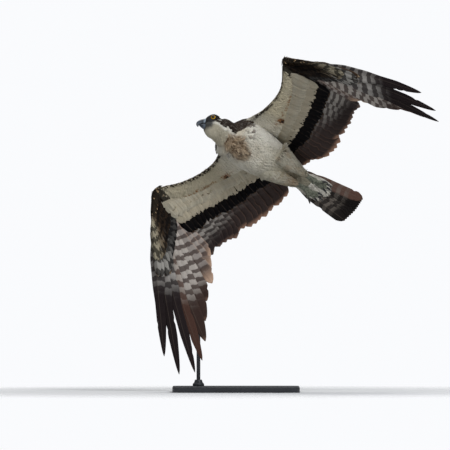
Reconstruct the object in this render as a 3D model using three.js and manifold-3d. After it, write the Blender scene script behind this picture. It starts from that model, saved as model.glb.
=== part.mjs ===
// Osprey in banked flight, life size, on a plain display stand.
// Millimetres, +Z up. The belly faces -Y, the head points to -X, and the origin is the middle of the stand's foot.
import * as THREE from "three";
import { mergeVertices } from "three/addons/utils/BufferGeometryUtils.js";
import Module from "manifold-3d";

const wasm = await Module();
wasm.setup();

// Driving dimensions
const GAP = 0.35; // left between touching pieces
const CHEST = v(18, -50, 655); // middle of the body between the shoulders
const PITCH = deg(25); // how far the beak end of the body turns towards -Y
const ROLL = deg(24); // how far the belly turns towards the bird's right
const CLIMB = deg(34.5); // slope of the body in the XZ plane
const VANE_THICK = 0.9;
const LOUVRE = deg(8); // each flight feather's tilt about its own shaft
const SECONDARIES = 17;
const PRIMARIES = 10;
const ARM_COVERTS = 8; // in each of the upper and lower rows
const HAND_COVERTS = 5;
const RECTRICES = 12;
const COVERT_LIFT = { arm: 4.6, hand: 3.8 }; // how far the covert rows lie from the flight feathers
const BASE = { x: 330, y: 320, thick: 14, corner: 24, bevel: 2 };
const ROD_R = 5;
const EYE_R = 8.2;

function deg(a) {
  return (a * Math.PI) / 180;
}
function v(x, y, z) {
  return new THREE.Vector3(x, y, z);
}
const lerp = THREE.MathUtils.lerp;
const smooth = THREE.MathUtils.smoothstep;
const mix = (a, b, t) => a.clone().lerp(b, t);
// a + b * s, as a new vector
const along = (a, b, s) => a.clone().addScaledVector(b, s);

// Body axes in the part's frame: forward, left and up on the bird
const climbAxis = v(-Math.cos(CLIMB), 0, Math.sin(CLIMB));
const acrossAxis = v(Math.sin(CLIMB), 0, Math.cos(CLIMB));
const viewer = v(0, -1, 0);
const forward = climbAxis.clone().multiplyScalar(Math.cos(PITCH)).addScaledVector(viewer, Math.sin(PITCH));
const left = climbAxis
  .clone()
  .multiplyScalar(-Math.sin(PITCH) * Math.sin(ROLL))
  .addScaledVector(acrossAxis, Math.cos(ROLL))
  .addScaledVector(viewer, Math.cos(PITCH) * Math.sin(ROLL))
  .normalize();
const up = forward.clone().cross(left).normalize();

// A point given on the bird's own axes from the chest
function onBody(x, y, z) {
  return along(along(along(CHEST, forward, x), left, y), up, z);
}

// A closed solid from a THREE geometry
function solid(geometry) {
  geometry.deleteAttribute("normal");
  geometry.deleteAttribute("uv");
  const g = mergeVertices(geometry, 1e-4);
  return new wasm.Manifold(
    new wasm.Mesh({
      numProp: 3,
      vertProperties: new Float32Array(g.attributes.position.array),
      triVerts: new Uint32Array(g.index.array),
    }),
  );
}

// A closed solid from points and triangles
function meshSolid(points, faces) {
  const vertProperties = new Float32Array(points.length * 3);
  points.forEach((p, i) => vertProperties.set([p.x, p.y, p.z], i * 3));
  const made = new wasm.Manifold(
    new wasm.Mesh({ numProp: 3, vertProperties, triVerts: new Uint32Array(faces.flat()) }),
  );
  if (made.volume() >= 0) return made;
  const turned = faces.map(([a, b, c]) => [a, c, b]);
  return new wasm.Manifold(
    new wasm.Mesh({ numProp: 3, vertProperties, triVerts: new Uint32Array(turned.flat()) }),
  );
}

// A loft through rings. Each ring has a centre, two half axes and a shape(angle) factor; both ends close on a point.
function loft(rings, sides, grow = 0) {
  const points = [];
  const faces = [];
  for (const r of rings) {
    const a = r.a.clone().setLength(r.a.length() + grow);
    const b = r.b.clone().setLength(r.b.length() + grow);
    for (let k = 0; k < sides; k++) {
      const w = (2 * Math.PI * k) / sides;
      const f = r.shape ? r.shape(w) : [1, 1];
      points.push(along(along(r.at, a, Math.cos(w) * f[0]), b, Math.sin(w) * f[1]));
    }
  }
  for (let i = 0; i + 1 < rings.length; i++)
    for (let k = 0; k < sides; k++) {
      const n = (k + 1) % sides;
      const [p, q, r, s] = [i * sides + k, i * sides + n, (i + 1) * sides + n, (i + 1) * sides + k];
      faces.push([p, q, r], [p, r, s]);
    }
  const cap = (row, turned) => {
    const middle = rings[row].at.clone();
    points.push(middle);
    for (let k = 0; k < sides; k++) {
      const n = (k + 1) % sides;
      const pair = [row * sides + k, row * sides + n];
      faces.push(turned ? [pair[1], pair[0], points.length - 1] : [pair[0], pair[1], points.length - 1]);
    }
  };
  cap(0, true);
  cap(rings.length - 1, false);
  return meshSolid(points, faces);
}

// A flat plate feather along a curve. widths(s) gives [lead, trail] half widths; lead is the side's direction.
function vane(root, tip, lead, normal, widths, bend, steps, thick = VANE_THICK) {
  const middle = along(mix(root, tip, 0.5), normal, bend);
  const curve = new THREE.QuadraticBezierCurve3(root, middle, tip);
  const points = [];
  const faces = [];
  for (let i = 0; i <= steps; i++) {
    const s = i / steps;
    const at = curve.getPoint(s);
    const run = curve.getTangent(s);
    const face = run.clone().cross(lead).normalize();
    if (face.dot(normal) < 0) face.negate();
    const side = lead.clone().addScaledVector(run, -lead.dot(run)).normalize();
    const [wl, wt] = widths(s);
    const h = (thick / 2) * (s > 0.99 ? 0.6 : 1);
    for (const [w, z] of [[wl, -h], [wl, h], [-wt, h], [-wt, -h]]) {
      points.push(along(along(at, side, w), face, z));
    }
  }
  for (let i = 0; i < steps; i++)
    for (let k = 0; k < 4; k++) {
      const n = (k + 1) % 4;
      const [p, q, r, s] = [i * 4 + k, i * 4 + n, i * 4 + 4 + n, i * 4 + 4 + k];
      // the two broad faces take the same diagonal, so that a bent vane never crosses itself
      if (k === 1) faces.push([p, q, r], [p, r, s]);
      else if (k === 3) faces.push([p, q, s], [q, r, s]);
      else faces.push([p, q, r], [p, r, s]);
    }
  const e = steps * 4;
  faces.push([0, 2, 1], [0, 3, 2], [e, e + 1, e + 2], [e, e + 2, e + 3]);
  return meshSolid(points, faces);
}

function unite(pieces) {
  return wasm.Manifold.union(pieces);
}

// A shape grown by the gap along each axis, to cut a neighbour clear of it
function fatten(shape) {
  const moves = [[GAP, 0, 0], [-GAP, 0, 0], [0, GAP, 0], [0, -GAP, 0], [0, 0, GAP], [0, 0, -GAP]];
  return unite(moves.map((m) => shape.translate(m)));
}

// The biggest closed surface of a shape, without loose scraps
function largest(shape) {
  const bodies = shape.decompose().sort((a, b) => b.volume() - a.volume());
  return bodies[0];
}

// The half space on normal's side of a point, as a big block
function half(at, normal, size = 900) {
  const g = new THREE.BoxGeometry(size, size, size);
  g.translate(0, 0, size / 2 + GAP / 2);
  g.applyQuaternion(new THREE.Quaternion().setFromUnitVectors(v(0, 0, 1), normal.clone().normalize()));
  g.translate(at.x, at.y, at.z);
  return solid(g);
}

function ball(at, r, wide = 14, high = 8) {
  const g = new THREE.SphereGeometry(r, wide, high);
  g.translate(at.x, at.y, at.z);
  return solid(g);
}

const group = new THREE.Group();
const FINISHES = {
  plumage: new THREE.MeshStandardMaterial({ color: 0xd9d5ca, roughness: 0.85 }),
  flight: new THREE.MeshStandardMaterial({ color: 0x4a3c34, roughness: 0.8 }),
  horn: new THREE.MeshStandardMaterial({ color: 0x23262b, roughness: 0.35 }),
  skin: new THREE.MeshStandardMaterial({ color: 0xb9c2bd, roughness: 0.6 }),
  iris: new THREE.MeshStandardMaterial({ color: 0xe9b21c, roughness: 0.1 }),
  steel: new THREE.MeshStandardMaterial({ color: 0x3b3d40, roughness: 0.45, metalness: 0.8 }),
};
function add(name, shape, finish) {
  const m = shape.getMesh();
  const g = new THREE.BufferGeometry();
  g.setAttribute("position", new THREE.BufferAttribute(new Float32Array(m.vertProperties), 3));
  g.setIndex(new THREE.BufferAttribute(new Uint32Array(m.triVerts), 1));
  g.computeVertexNormals();
  const mesh = new THREE.Mesh(g, FINISHES[finish]);
  mesh.name = name;
  group.add(mesh);
}

// Head frame: the face looks along -X and a little towards the viewer, and is seen from below
const HEAD = v(-56, -92, 699); // middle of the skull
const faceDir = v(-0.94, -0.3, 0.1).normalize();
const crown = v(0.02, 0.46, 0.88).addScaledVector(faceDir, -v(0.02, 0.46, 0.88).dot(faceDir)).normalize();
const headLeft = crown.clone().cross(faceDir).normalize();
const onHead = (x, y, z) => along(along(along(HEAD, faceDir, x), headLeft, y), crown, z);

// Torso, neck and head are one loft along the spine, parted later
const TORSO = [
  // along the body, half width, half height, rise of the centre
  [-222, 19, 13, 6],
  [-205, 26, 19, 3],
  [-175, 37, 30, -2],
  [-140, 47, 40, -5],
  [-95, 55, 50, -8],
  [-45, 61, 57, -11],
  [5, 59, 58, -11],
  [28, 51, 51, -9],
];
const torsoRing = ([x, w, h, z]) => ({ at: onBody(x, 0, z), a: left.clone().setLength(w), b: up.clone().setLength(h) });
const NECK = [
  // share of the way from the chest to the skull, half width, half height
  [0.45, 46.5, 46],
  [0.72, 40, 41],
];
const NECK_SAG = v(-6, -3, -18.5); // how far the throat hangs out of the straight line
function neckRing([t, w, h]) {
  const at = mix(onBody(20, 0, 2), onHead(-14, 0, -3), t).add(NECK_SAG.clone().multiplyScalar(Math.sin(Math.PI * t)));
  const turn = smooth(t, 0.3, 1);
  const side = mix(left, headLeft, turn).normalize();
  const rise = mix(up, crown, turn).normalize();
  return { at, a: side.setLength(w), b: rise.setLength(h) };
}
const SKULL = [
  // along the face, half width, half height, rise of the centre
  [-12, 34, 36.5, -25],
  [-3, 31, 35.5, -17.5],
  [7, 27.3, 34, -12],
  [16, 23.6, 30, -12.3],
  [23, 18.5, 23, -12],
  [28, 12, 16.5, -11.5],
];
const skullRing = ([x, w, h, z]) => ({
  at: onHead(x, 0, z),
  a: headLeft.clone().setLength(w),
  b: crown.clone().setLength(h),
});
const BODY_SIDES = 24;
const bodyRings = [...TORSO.map(torsoRing), ...NECK.map(neckRing), ...SKULL.map(skullRing)];
const bodyLoft = (grow = 0) => loft(bodyRings, BODY_SIDES, grow);
const bodyWhole = bodyLoft();
const bodyFat = bodyLoft(GAP);

// The stand: a flat base, a rod that bends in behind the wing, and a collar
const ROD_FOOT = v(-98, 128, BASE.thick);
const ROD_ENTRY = onBody(-30, -14, 46);
const rodPath = new THREE.CatmullRomCurve3(
  [
    ROD_FOOT,
    along(ROD_FOOT, v(0, 0, 1), 150),
    along(ROD_FOOT, v(0, 0, 1), 330),
    v(-86, 134, 455),
    mix(v(-86, 134, 455), ROD_ENTRY, 0.55).add(v(0, 22, 0)),
    ROD_ENTRY,
    along(ROD_ENTRY, up, -30),
  ],
  false,
  "centripetal",
);
function rod(r) {
  const section = new THREE.Shape();
  section.absarc(0, 0, r, 0, 2 * Math.PI);
  const g = new THREE.ExtrudeGeometry(section, { steps: 24, curveSegments: 5, extrudePath: rodPath });
  return solid(g);
}
function baseShape(inset) {
  const [x, y, c] = [BASE.x / 2 - inset, BASE.y / 2 - inset, BASE.corner - inset];
  const s = new THREE.Shape();
  s.absarc(x - c, y - c, c, 0, Math.PI / 2);
  s.absarc(-x + c, y - c, c, Math.PI / 2, Math.PI);
  s.absarc(-x + c, -y + c, c, Math.PI, 1.5 * Math.PI);
  s.absarc(x - c, -y + c, c, 1.5 * Math.PI, 2 * Math.PI);
  return s;
}
function makeStand() {
  const plate = new THREE.ExtrudeGeometry(baseShape(BASE.bevel), {
    depth: BASE.thick - BASE.bevel,
    bevelEnabled: true,
    bevelThickness: BASE.bevel,
    bevelSize: BASE.bevel,
    bevelSegments: 1,
    curveSegments: 6,
  });
  // the lower bevel is cut off so that the foot is flat and full
  const base = solid(plate).intersect(half(v(0, 0, -GAP / 2), v(0, 0, 1)));
  add("stand_base", base, "steel");
  const collarHigh = 16;
  const ring = new THREE.LatheGeometry(
    [
      [ROD_R + GAP, 0],
      [15, 0],
      [15, 5],
      [11, 9],
      [9, collarHigh],
      [ROD_R + GAP, collarHigh],
      [ROD_R + GAP, 0],
    ].map(([x, y]) => new THREE.Vector2(x, y)),
    16,
  );
  ring.rotateX(Math.PI / 2);
  ring.translate(ROD_FOOT.x, ROD_FOOT.y, BASE.thick + GAP);
  add("stand_collar", solid(ring), "steel");
  const shaft = rod(ROD_R).intersect(half(v(0, 0, BASE.thick + GAP / 2), v(0, 0, 1), 1400));
  add("stand_rod", largest(shaft), "steel");
}

// Wings. Each is given by its leading edge, its wrist and hand, and where its flight feathers' tips lie.
const WINGS = {
  right: {
    side: -1,
    edge: [onBody(30, -46, 12), v(-62, -14, 594), v(-126, 4, 553), v(-213, 26, 531)],
    wrist: v(-214, 28, 518),
    manus: v(-219, 34, 412),
    innerRoot: onBody(-62, -46, 22),
    outerRoot: v(-196, 36, 494),
    secondaryTips: [v(134, 62, 508), v(59, 84, 445), v(-11, 88, 401), v(-61, 80, 356)],
    primaryTips: [
      v(-68, 76, 344),
      v(-66, 72, 318),
      v(-62, 68, 282),
      v(-76, 64, 236),
      v(-80, 61, 184),
      v(-80, 58, 131),
      v(-88, 56, 81),
      v(-107, 54, 50),
      v(-148, 52, 45),
      v(-187, 50, 92),
    ],
  },
  left: {
    side: 1,
    edge: [onBody(30, 46, 12), v(72, -110, 736), v(112, -146, 786), v(118, -178, 850)],
    wrist: v(126, -186, 862),
    manus: v(226, -252, 850),
    innerRoot: onBody(-62, 46, 22),
    outerRoot: v(142, -176, 832),
    secondaryTips: [v(186, 18, 588), v(250, -54, 632), v(296, -122, 694), v(317, -172, 742)],
    primaryTips: [
      v(324, -190, 757),
      v(332, -220, 756),
      v(352, -252, 750),
      v(390, -290, 738),
      v(424, -322, 733),
      v(456, -362, 724),
      v(486, -402, 710),
      v(519, -440, 699),
      v(511, -455, 727),
      v(474, -448, 773),
    ],
  },
};

// Root, tip and wing normal of each flight feather, from the innermost secondary to the outermost primary
function layFeathers(w) {
  const tips = new THREE.CatmullRomCurve3(w.secondaryTips, false, "centripetal");
  const laid = [];
  for (let i = 0; i < SECONDARIES; i++) {
    const t = i / (SECONDARIES - 1);
    laid.push({ root: mix(w.innerRoot, w.outerRoot, t), tip: tips.getPoint(t), kind: "secondary", t });
  }
  for (let i = 0; i < PRIMARIES; i++) {
    const t = i / (PRIMARIES - 1);
    const inside = mix(w.outerRoot, w.wrist, 0.25);
    const root = mix(inside, w.manus, 0.1 + 0.82 * t);
    laid.push({ root, tip: w.primaryTips[i], kind: "primary", t });
  }
  laid.forEach((f, i) => {
    const before = laid[Math.max(0, i - 1)];
    const after = laid[Math.min(laid.length - 1, i + 1)];
    f.run = f.tip.clone().sub(f.root).normalize();
    f.length = f.tip.distanceTo(f.root);
    const step = mix(after.root, after.tip, 0.4).sub(mix(before.root, before.tip, 0.4));
    f.normal = f.run.clone().cross(step).normalize();
    if (f.normal.y < 0) f.normal.negate(); // the back of the wing faces +Y
    f.lead = step.addScaledVector(f.run, -step.dot(f.run)).normalize();
  });
  return laid;
}

// A feather place part of the way along a row
function between(row, t) {
  const at = t * (row.length - 1);
  const i = Math.min(Math.floor(at), row.length - 2);
  const [a, b] = [row[i], row[i + 1]];
  const blend = (key) => mix(a[key], b[key], at - i).normalize();
  return {
    root: mix(a.root, b.root, at - i),
    run: blend("run"),
    lead: blend("lead"),
    normal: blend("normal"),
    length: lerp(a.length, b.length, at - i),
  };
}

// Half widths of each kind of vane along its length
const taper = (s, from, power) => (s < from ? 1 : Math.pow(Math.max(0, 1 - (s - from) / (1 - from)), power));
function secondaryWidths(s) {
  const w = lerp(0.3, 1, smooth(s, 0, 0.3)) * Math.max(0.12, taper(s, 0.8, 0.45));
  return [17 * w, 24 * w];
}
function primaryWidths(t) {
  // outer primaries are cut in to fingers over their outer half
  const finger = smooth(t, 0.45, 0.75);
  return (s) => {
    const cut = lerp(1, lerp(1, 0.74, smooth(s, 0.42, 0.6)), finger);
    const w = lerp(0.3, 1, smooth(s, 0, 0.25)) * cut * Math.max(0.1, taper(s, lerp(0.84, 0.7, finger), 0.6));
    return [lerp(17, 12, finger) * w, lerp(24, 20, finger) * w];
  };
}
const covertWidths = (lead, trail) => (s) => {
  const w = lerp(0.3, 1, smooth(s, 0, 0.35)) * Math.max(0.15, taper(s, 0.72, 0.5));
  return [lead * w, trail * w];
};

function feather(f, widths, length, lift, bend, steps) {
  const lead = f.lead.clone().multiplyScalar(Math.cos(LOUVRE)).addScaledVector(f.normal, Math.sin(LOUVRE));
  const root = along(f.root, f.normal, lift);
  const tip = along(along(f.root, f.run, length), f.normal, lift);
  return vane(root, tip, lead, f.normal, widths, bend, steps);
}

// The flesh of an arm or hand: a drop-shaped section swept along the bone
function limb(stations, sides = 8) {
  const drop = (w) => [1, lerp(0.28, 1, Math.pow(Math.max(0, (1 + Math.cos(w)) / 2), 0.75))];
  return loft(
    stations.map((s) => ({ at: s.at, a: s.lead, b: s.rise, shape: drop })),
    sides,
  );
}

function makeWing(name, w) {
  const laid = layFeathers(w);
  const secondaries = laid.slice(0, SECONDARIES);
  const primaries = laid.slice(SECONDARIES);
  const edge = new THREE.CatmullRomCurve3(w.edge, false, "centripetal");
  const armStations = [];
  const armSteps = 8;
  for (let i = 0; i <= armSteps; i++) {
    const t = i / armSteps;
    const f = secondaries[Math.round(t * (SECONDARIES - 1))];
    const front = edge.getPoint(t);
    const back = along(mix(w.innerRoot, w.outerRoot, t), f.run, 30);
    const middle = mix(front, back, 0.5);
    const lead = front.clone().sub(back).multiplyScalar(0.5);
    const rise = f.normal.clone().setLength(lerp(15, 8.5, t));
    armStations.push({ at: middle, lead, rise });
  }
  const first = armStations[0];
  armStations.unshift({
    at: along(first.at, left, -w.side * 42),
    lead: first.lead.clone().multiplyScalar(0.8),
    rise: first.rise.clone().multiplyScalar(0.8),
  });
  const handStations = [];
  const handSteps = 5;
  const p1 = primaries[0];
  for (let i = 0; i <= handSteps; i++) {
    const t = i / handSteps;
    const f = primaries[Math.round(t * (PRIMARIES - 1))];
    const bone = mix(w.wrist, w.manus, t);
    const lead = f.lead.clone().setLength(lerp(26, 9, t));
    const at = along(bone, f.lead, -lerp(13, 5, t));
    handStations.push({ at: along(at, f.run, lerp(0, 4, t)), lead, rise: f.normal.clone().setLength(lerp(8.5, 3.4, t)) });
  }
  const knuckle = handStations[0];
  handStations.unshift({
    at: along(knuckle.at, w.manus.clone().sub(w.wrist).normalize(), -10),
    lead: knuckle.lead.clone().multiplyScalar(0.8),
    rise: knuckle.rise.clone().multiplyScalar(0.8),
  });
  const armPieces = [limb(armStations)];
  for (const f of secondaries) armPieces.push(feather(f, secondaryWidths, f.length, 0, 7, 3));
  for (let i = 0; i < ARM_COVERTS; i++) {
    const f = between(secondaries, i / (ARM_COVERTS - 1));
    for (const lift of [COVERT_LIFT.arm, -COVERT_LIFT.arm]) {
      armPieces.push(feather(f, covertWidths(17, 20), f.length * 0.5, lift, 2.5, 2));
    }
  }
  const handPieces = [limb(handStations)];
  for (const f of primaries) {
    handPieces.push(feather(f, primaryWidths(f.t), f.length, 0, lerp(6, 12, f.t), 5));
  }
  for (let i = 0; i < HAND_COVERTS; i++) {
    const f = between(primaries, i / (HAND_COVERTS - 1));
    for (const lift of [COVERT_LIFT.hand, -COVERT_LIFT.hand]) {
      handPieces.push(feather(f, covertWidths(13, 16), f.length * 0.36, lift, 2, 2));
    }
  }
  // the arm and the hand part on a plane that runs between the last secondary and the first primary
  const last = secondaries[SECONDARIES - 1];
  const seam = last.run.clone().add(p1.run).normalize();
  const facing = last.normal.clone().add(p1.normal).normalize();
  const across = seam.clone().cross(facing).normalize();
  if (across.dot(p1.lead) < 0) across.negate();
  const cutAt = mix(mix(last.root, last.tip, 0.5), mix(p1.root, p1.tip, 0.5), 0.5);
  const arm = unite(armPieces).subtract(bodyFat).intersect(half(cutAt, across.clone().negate()));
  const hand = unite(handPieces).intersect(half(cutAt, across));
  add(name + "_arm", largest(arm), "flight");
  add(name + "_hand", largest(hand), "flight");
}

// Tail: a short root of flesh, twelve vanes in a narrow fan, and coverts above and below
const TAIL = { root: onBody(-206, 0, 8), length: 180, spread: deg(6), rootWide: 19, twist: deg(10), step: 1.9, lift: deg(4.5) };
function makeTail() {
  const pieces = [];
  const back = forward.clone().negate().addScaledVector(left, Math.sin(TAIL.lift)).normalize();
  const side = left.clone().multiplyScalar(Math.cos(TAIL.twist)).addScaledVector(up, Math.sin(TAIL.twist));
  const face = up.clone().multiplyScalar(Math.cos(TAIL.twist)).addScaledVector(left, -Math.sin(TAIL.twist));
  for (let i = 0; i < RECTRICES; i++) {
    const t = i / (RECTRICES - 1) - 0.5;
    const swing = 2 * t * TAIL.spread;
    // the middle pair lies on top and the outer ones step down below it, the left ones half a step higher
    const pair = i < RECTRICES / 2 ? RECTRICES / 2 - 1 - i : i - RECTRICES / 2;
    const lift = 4.5 - TAIL.step * pair + (t > 0 ? TAIL.step / 2 : 0);
    const root = along(along(TAIL.root, side, 2 * t * TAIL.rootWide), face, lift);
    const run = back.clone().multiplyScalar(Math.cos(swing)).addScaledVector(side, Math.sin(swing));
    const tip = along(root, run, TAIL.length * (1 - 0.1 * Math.abs(t)));
    const width = (s) => {
      const w = lerp(0.5, 1, smooth(s, 0, 0.4)) * Math.max(0.3, taper(s, 0.88, 0.5));
      return [14 * w, 14 * w];
    };
    pieces.push(vane(root, tip, side.clone(), face, width, -3, 3, 0.6));
  }
  for (const [lift, share, count] of [[9, 0.42, 5], [-8.5, 0.5, 5]])
    for (let i = 0; i < count; i++) {
      const t = i / (count - 1) - 0.5;
      const swing = 1.4 * t * TAIL.spread;
      const drop = Math.sign(lift) * 1.3 * (i % 2);
      const root = along(along(TAIL.root, side, 1.7 * t * TAIL.rootWide), face, lift + drop);
      const run = back.clone().multiplyScalar(Math.cos(swing)).addScaledVector(side, Math.sin(swing));
      const tip = along(root, run, TAIL.length * share * (1 - 0.3 * Math.abs(t)));
      pieces.push(vane(root, tip, side.clone(), face, covertWidths(11, 11), 0, 2));
    }
  const lump = [
    [14, 20, 13],
    [0, 24, 14],
    [-18, 22, 12.5],
    [-36, 15, 10],
  ].map(([x, w, h]) => ({ at: along(TAIL.root, forward, x), a: side.clone().setLength(w), b: face.clone().setLength(h) }));
  pieces.push(loft(lump, 12));
  return unite(pieces);
}

// Legs, folded back along the belly
const LEGS = {
  left: { side: 1, hip: onBody(-84, 36, -26), heel: onBody(-172, 37, -41), ankle: onBody(-204, 37, -41), turn: 6 },
  right: { side: -1, hip: onBody(-84, -18, -30), heel: onBody(-170, 3, -45), ankle: onBody(-202, 6, -45), turn: 1 },
};
function tube(path, radii, side, sides = 12, grow = 0) {
  const rings = path.map((at, i) => {
    const run = path[Math.min(i + 1, path.length - 1)].clone().sub(path[Math.max(i - 1, 0)]).normalize();
    const a = side.clone().addScaledVector(run, -side.dot(run)).normalize();
    const b = run.clone().cross(a).normalize();
    return { at, a: a.setLength(radii[i]), b: b.setLength(radii[i]) };
  });
  return loft(rings, sides, grow);
}
const TOES = [
  // name, spread angle to the side, length, claw length
  ["inner", -12, 33, 20],
  ["middle", 2, 39, 21],
  ["outer", 16, 34, 20],
  ["hind", 38, 22, 21],
];
function makeLeg(name, leg, tailFat) {
  const thighPath = [leg.hip, mix(leg.hip, leg.heel, 0.35), mix(leg.hip, leg.heel, 0.7), leg.heel];
  const thighSizes = [31, 26, 17, 9.5];
  const thigh = tube(thighPath, thighSizes, left, 16);
  const thighFat = tube(thighPath, thighSizes, left, 16, GAP);
  const shankPath = [mix(leg.heel, leg.ankle, -0.3), leg.heel, mix(leg.heel, leg.ankle, 0.5), leg.ankle];
  const shankSizes = [6, 6.6, 5.8, 6.6];
  const shank = tube(shankPath, shankSizes, left, 12);
  const shankFat = tube(shankPath, shankSizes, left, 12, GAP);
  add("thigh_" + name, largest(thigh.subtract(bodyFat)), "plumage");
  add("shank_" + name, largest(shank.subtract(thighFat).subtract(bodyFat)), "skin");
  const run = leg.ankle.clone().sub(leg.heel).normalize();
  const palm = along(leg.ankle, run, 6);
  const pieces = [ball(palm, 8.6, 10, 6)];
  const claws = [];
  for (const [toe, spread, length, clawLong] of TOES) {
    const swing = deg(spread * leg.side + leg.turn);
    const down = toe === "hind" ? 0.35 : 0.06;
    const dir = run.clone().multiplyScalar(Math.cos(swing)).addScaledVector(left, Math.sin(swing));
    dir.addScaledVector(up, -down).normalize();
    const tip = along(palm, dir, length);
    const knee = along(mix(palm, tip, 0.55), up, -3.5);
    pieces.push(tube([palm, knee, tip], [5.2, 4.9, 3.9], left, 6));
    const curl = along(dir.clone(), up, -0.55).normalize();
    const clawPath = [
      along(tip, dir, -1.5),
      along(tip, dir, clawLong * 0.35),
      along(along(tip, dir, clawLong * 0.35), curl, clawLong * 0.35),
      along(along(along(tip, dir, clawLong * 0.3), curl, clawLong * 0.4), up, -clawLong * 0.38),
    ];
    claws.push([toe, tube(clawPath, [3.1, 2.7, 1.8, 0.5], left, 6)]);
  }
  const foot = largest(unite(pieces).subtract(shankFat).subtract(tailFat));
  const footFat = fatten(foot);
  add("foot_" + name, foot, "skin");
  for (const [toe, claw] of claws) {
    add("claw_" + name + "_" + toe, largest(claw.subtract(footFat)), "horn");
  }
}

// Bill: a hooked upper half with the cere and nostrils, and a shorter lower half
const BILL = [
  // along the face, half width, half height, rise
  [20, 10, 9.5, -1],
  [27, 8.8, 8.6, -1.6],
  [34, 6.9, 7.6, -2.4],
  [40, 5.2, 6.6, -3.8],
  [45, 3.6, 5.2, -6.2],
  [48, 2.3, 4.2, -10],
  [48.4, 1.3, 2.6, -14],
  [47.6, 0.5, 0.8, -18],
];
const LOWER = [
  [18, 8.6, 5.2, -11.5],
  [27, 7, 4, -11.2],
  [35, 5, 3, -10.8],
  [42, 2.6, 1.6, -10.4],
];
function billShape(rows, grow = 0) {
  const rings = rows.map(([x, w, h, z], i) => {
    const next = rows[Math.min(i + 1, rows.length - 1)];
    const before = rows[Math.max(i - 1, 0)];
    const run = v(next[0] - before[0], 0, next[3] - before[3]).normalize();
    const rise = crown.clone().multiplyScalar(run.x).addScaledVector(faceDir, -run.z).normalize();
    return { at: onHead(x, 0, z), a: headLeft.clone().setLength(w), b: rise.setLength(h) };
  });
  return loft(rings, 10, grow);
}
const EYE = { x: 8.5, y: 16.2, z: 4.6 };
const GAPE = -7.9; // height of the mouth line on the head
const BILL_FROM = 25.5; // the bill starts here and the face ends round it
function makeHead() {
  const eyes = { left: onHead(EYE.x, EYE.y, EYE.z), right: onHead(EYE.x, -EYE.y, EYE.z) };
  const upperRaw = billShape(BILL);
  const lowerRaw = billShape(LOWER);
  // the gape parts the two halves of the bill, and the hook hangs past it
  const aboveGape = half(onHead(34, 0, GAPE - 0.2), crown);
  const hook = half(onHead(42.5, 0, 0), faceDir);
  const upper = unite([upperRaw.intersect(aboveGape), upperRaw.intersect(hook)]);
  const lower = lowerRaw.intersect(half(onHead(34, 0, GAPE - 0.8), crown.clone().negate()));
  const nostrils = unite([ball(onHead(29, 8.2, 1), 1.5, 8, 6), ball(onHead(29, -8.2, 1), 1.5, 8, 6)]);
  const neckCut = neckRing([0.93, 1, 1]).at;
  const neckDir = faceDir.clone().add(HEAD.clone().sub(CHEST).normalize()).normalize();
  let head = bodyWhole.intersect(half(neckCut, neckDir));
  const extras = [];
  for (const side of [1, -1]) {
    // brow ridge over the eye and the lid's rim round it
    extras.push(
      tube(
        [onHead(-1, side * 20, 11.5), onHead(8, side * 19.6, 12.2), onHead(17, side * 15.8, 9)],
        [2.4, 3.4, 2.2],
        crown,
        6,
      ),
    );
    const rim = new THREE.TorusGeometry(EYE_R * 0.86, 1.5, 4, 12);
    const out = along(headLeft.clone().multiplyScalar(side), faceDir, 0.34).normalize();
    rim.applyQuaternion(new THREE.Quaternion().setFromUnitVectors(v(0, 0, 1), out));
    const at = along(side > 0 ? eyes.left : eyes.right, out, EYE_R * 0.5);
    rim.translate(at.x, at.y, at.z);
    extras.push(solid(rim));
  }
  head = unite([head, ...extras]);
  for (const at of Object.values(eyes)) head = head.subtract(ball(at, EYE_R + GAP));
  const upperFat = billShape(BILL, GAP);
  const lowerFat = billShape(LOWER, GAP);
  const inner = half(onHead(BILL_FROM, 0, 0), faceDir);
  const upperPiece = upper.intersect(inner).subtract(nostrils);
  const lowerPiece = lower.intersect(inner);
  const faceCut = unite([upperFat, lowerFat]).intersect(half(onHead(BILL_FROM - 2 * GAP, 0, 0), faceDir));
  add("head", largest(head.subtract(faceCut)), "plumage");
  add("bill_upper", largest(upperPiece), "horn");
  add("bill_lower", largest(lowerPiece.subtract(fatten(upperPiece))), "horn");
  add("eye_left", ball(eyes.left, EYE_R), "iris");
  add("eye_right", ball(eyes.right, EYE_R), "iris");
  return { neckCut, neckDir };
}
makeStand();
const { neckCut, neckDir } = makeHead();
const chestCut = onBody(40, 0, 0);
const rodFat = rod(ROD_R + GAP);
const neck = bodyWhole.intersect(half(neckCut, neckDir.clone().negate())).intersect(half(chestCut, forward));
add("neck", largest(neck), "plumage");
const torso = bodyWhole.intersect(half(chestCut, forward.clone().negate())).subtract(rodFat);
add("torso", largest(torso), "plumage");
makeWing("wing_right", WINGS.right);
makeWing("wing_left", WINGS.left);
const tail = largest(makeTail().subtract(bodyFat));
add("tail", tail, "flight");
const tailFat = fatten(tail);
makeLeg("left", LEGS.left, tailFat);
makeLeg("right", LEGS.right, tailFat);

export default group;
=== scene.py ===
"""Looks of a life-size osprey in banked flight on a plain display stand.

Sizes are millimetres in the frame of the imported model: +Z up, the belly towards -Y, the head towards -X.
Meshes are made in metres.
"""

from __future__ import annotations

import logging
from collections.abc import Callable, Sequence
from dataclasses import astuple, dataclass, field, fields
from enum import Enum
from math import copysign, cos, pi, radians, sin

import bmesh
import bpy
import numpy as np
from bpy.types import ID, Material, Mesh, Node, NodeSocket, NodeTree, Object
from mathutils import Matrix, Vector, noise
from mathutils.kdtree import KDTree


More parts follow.
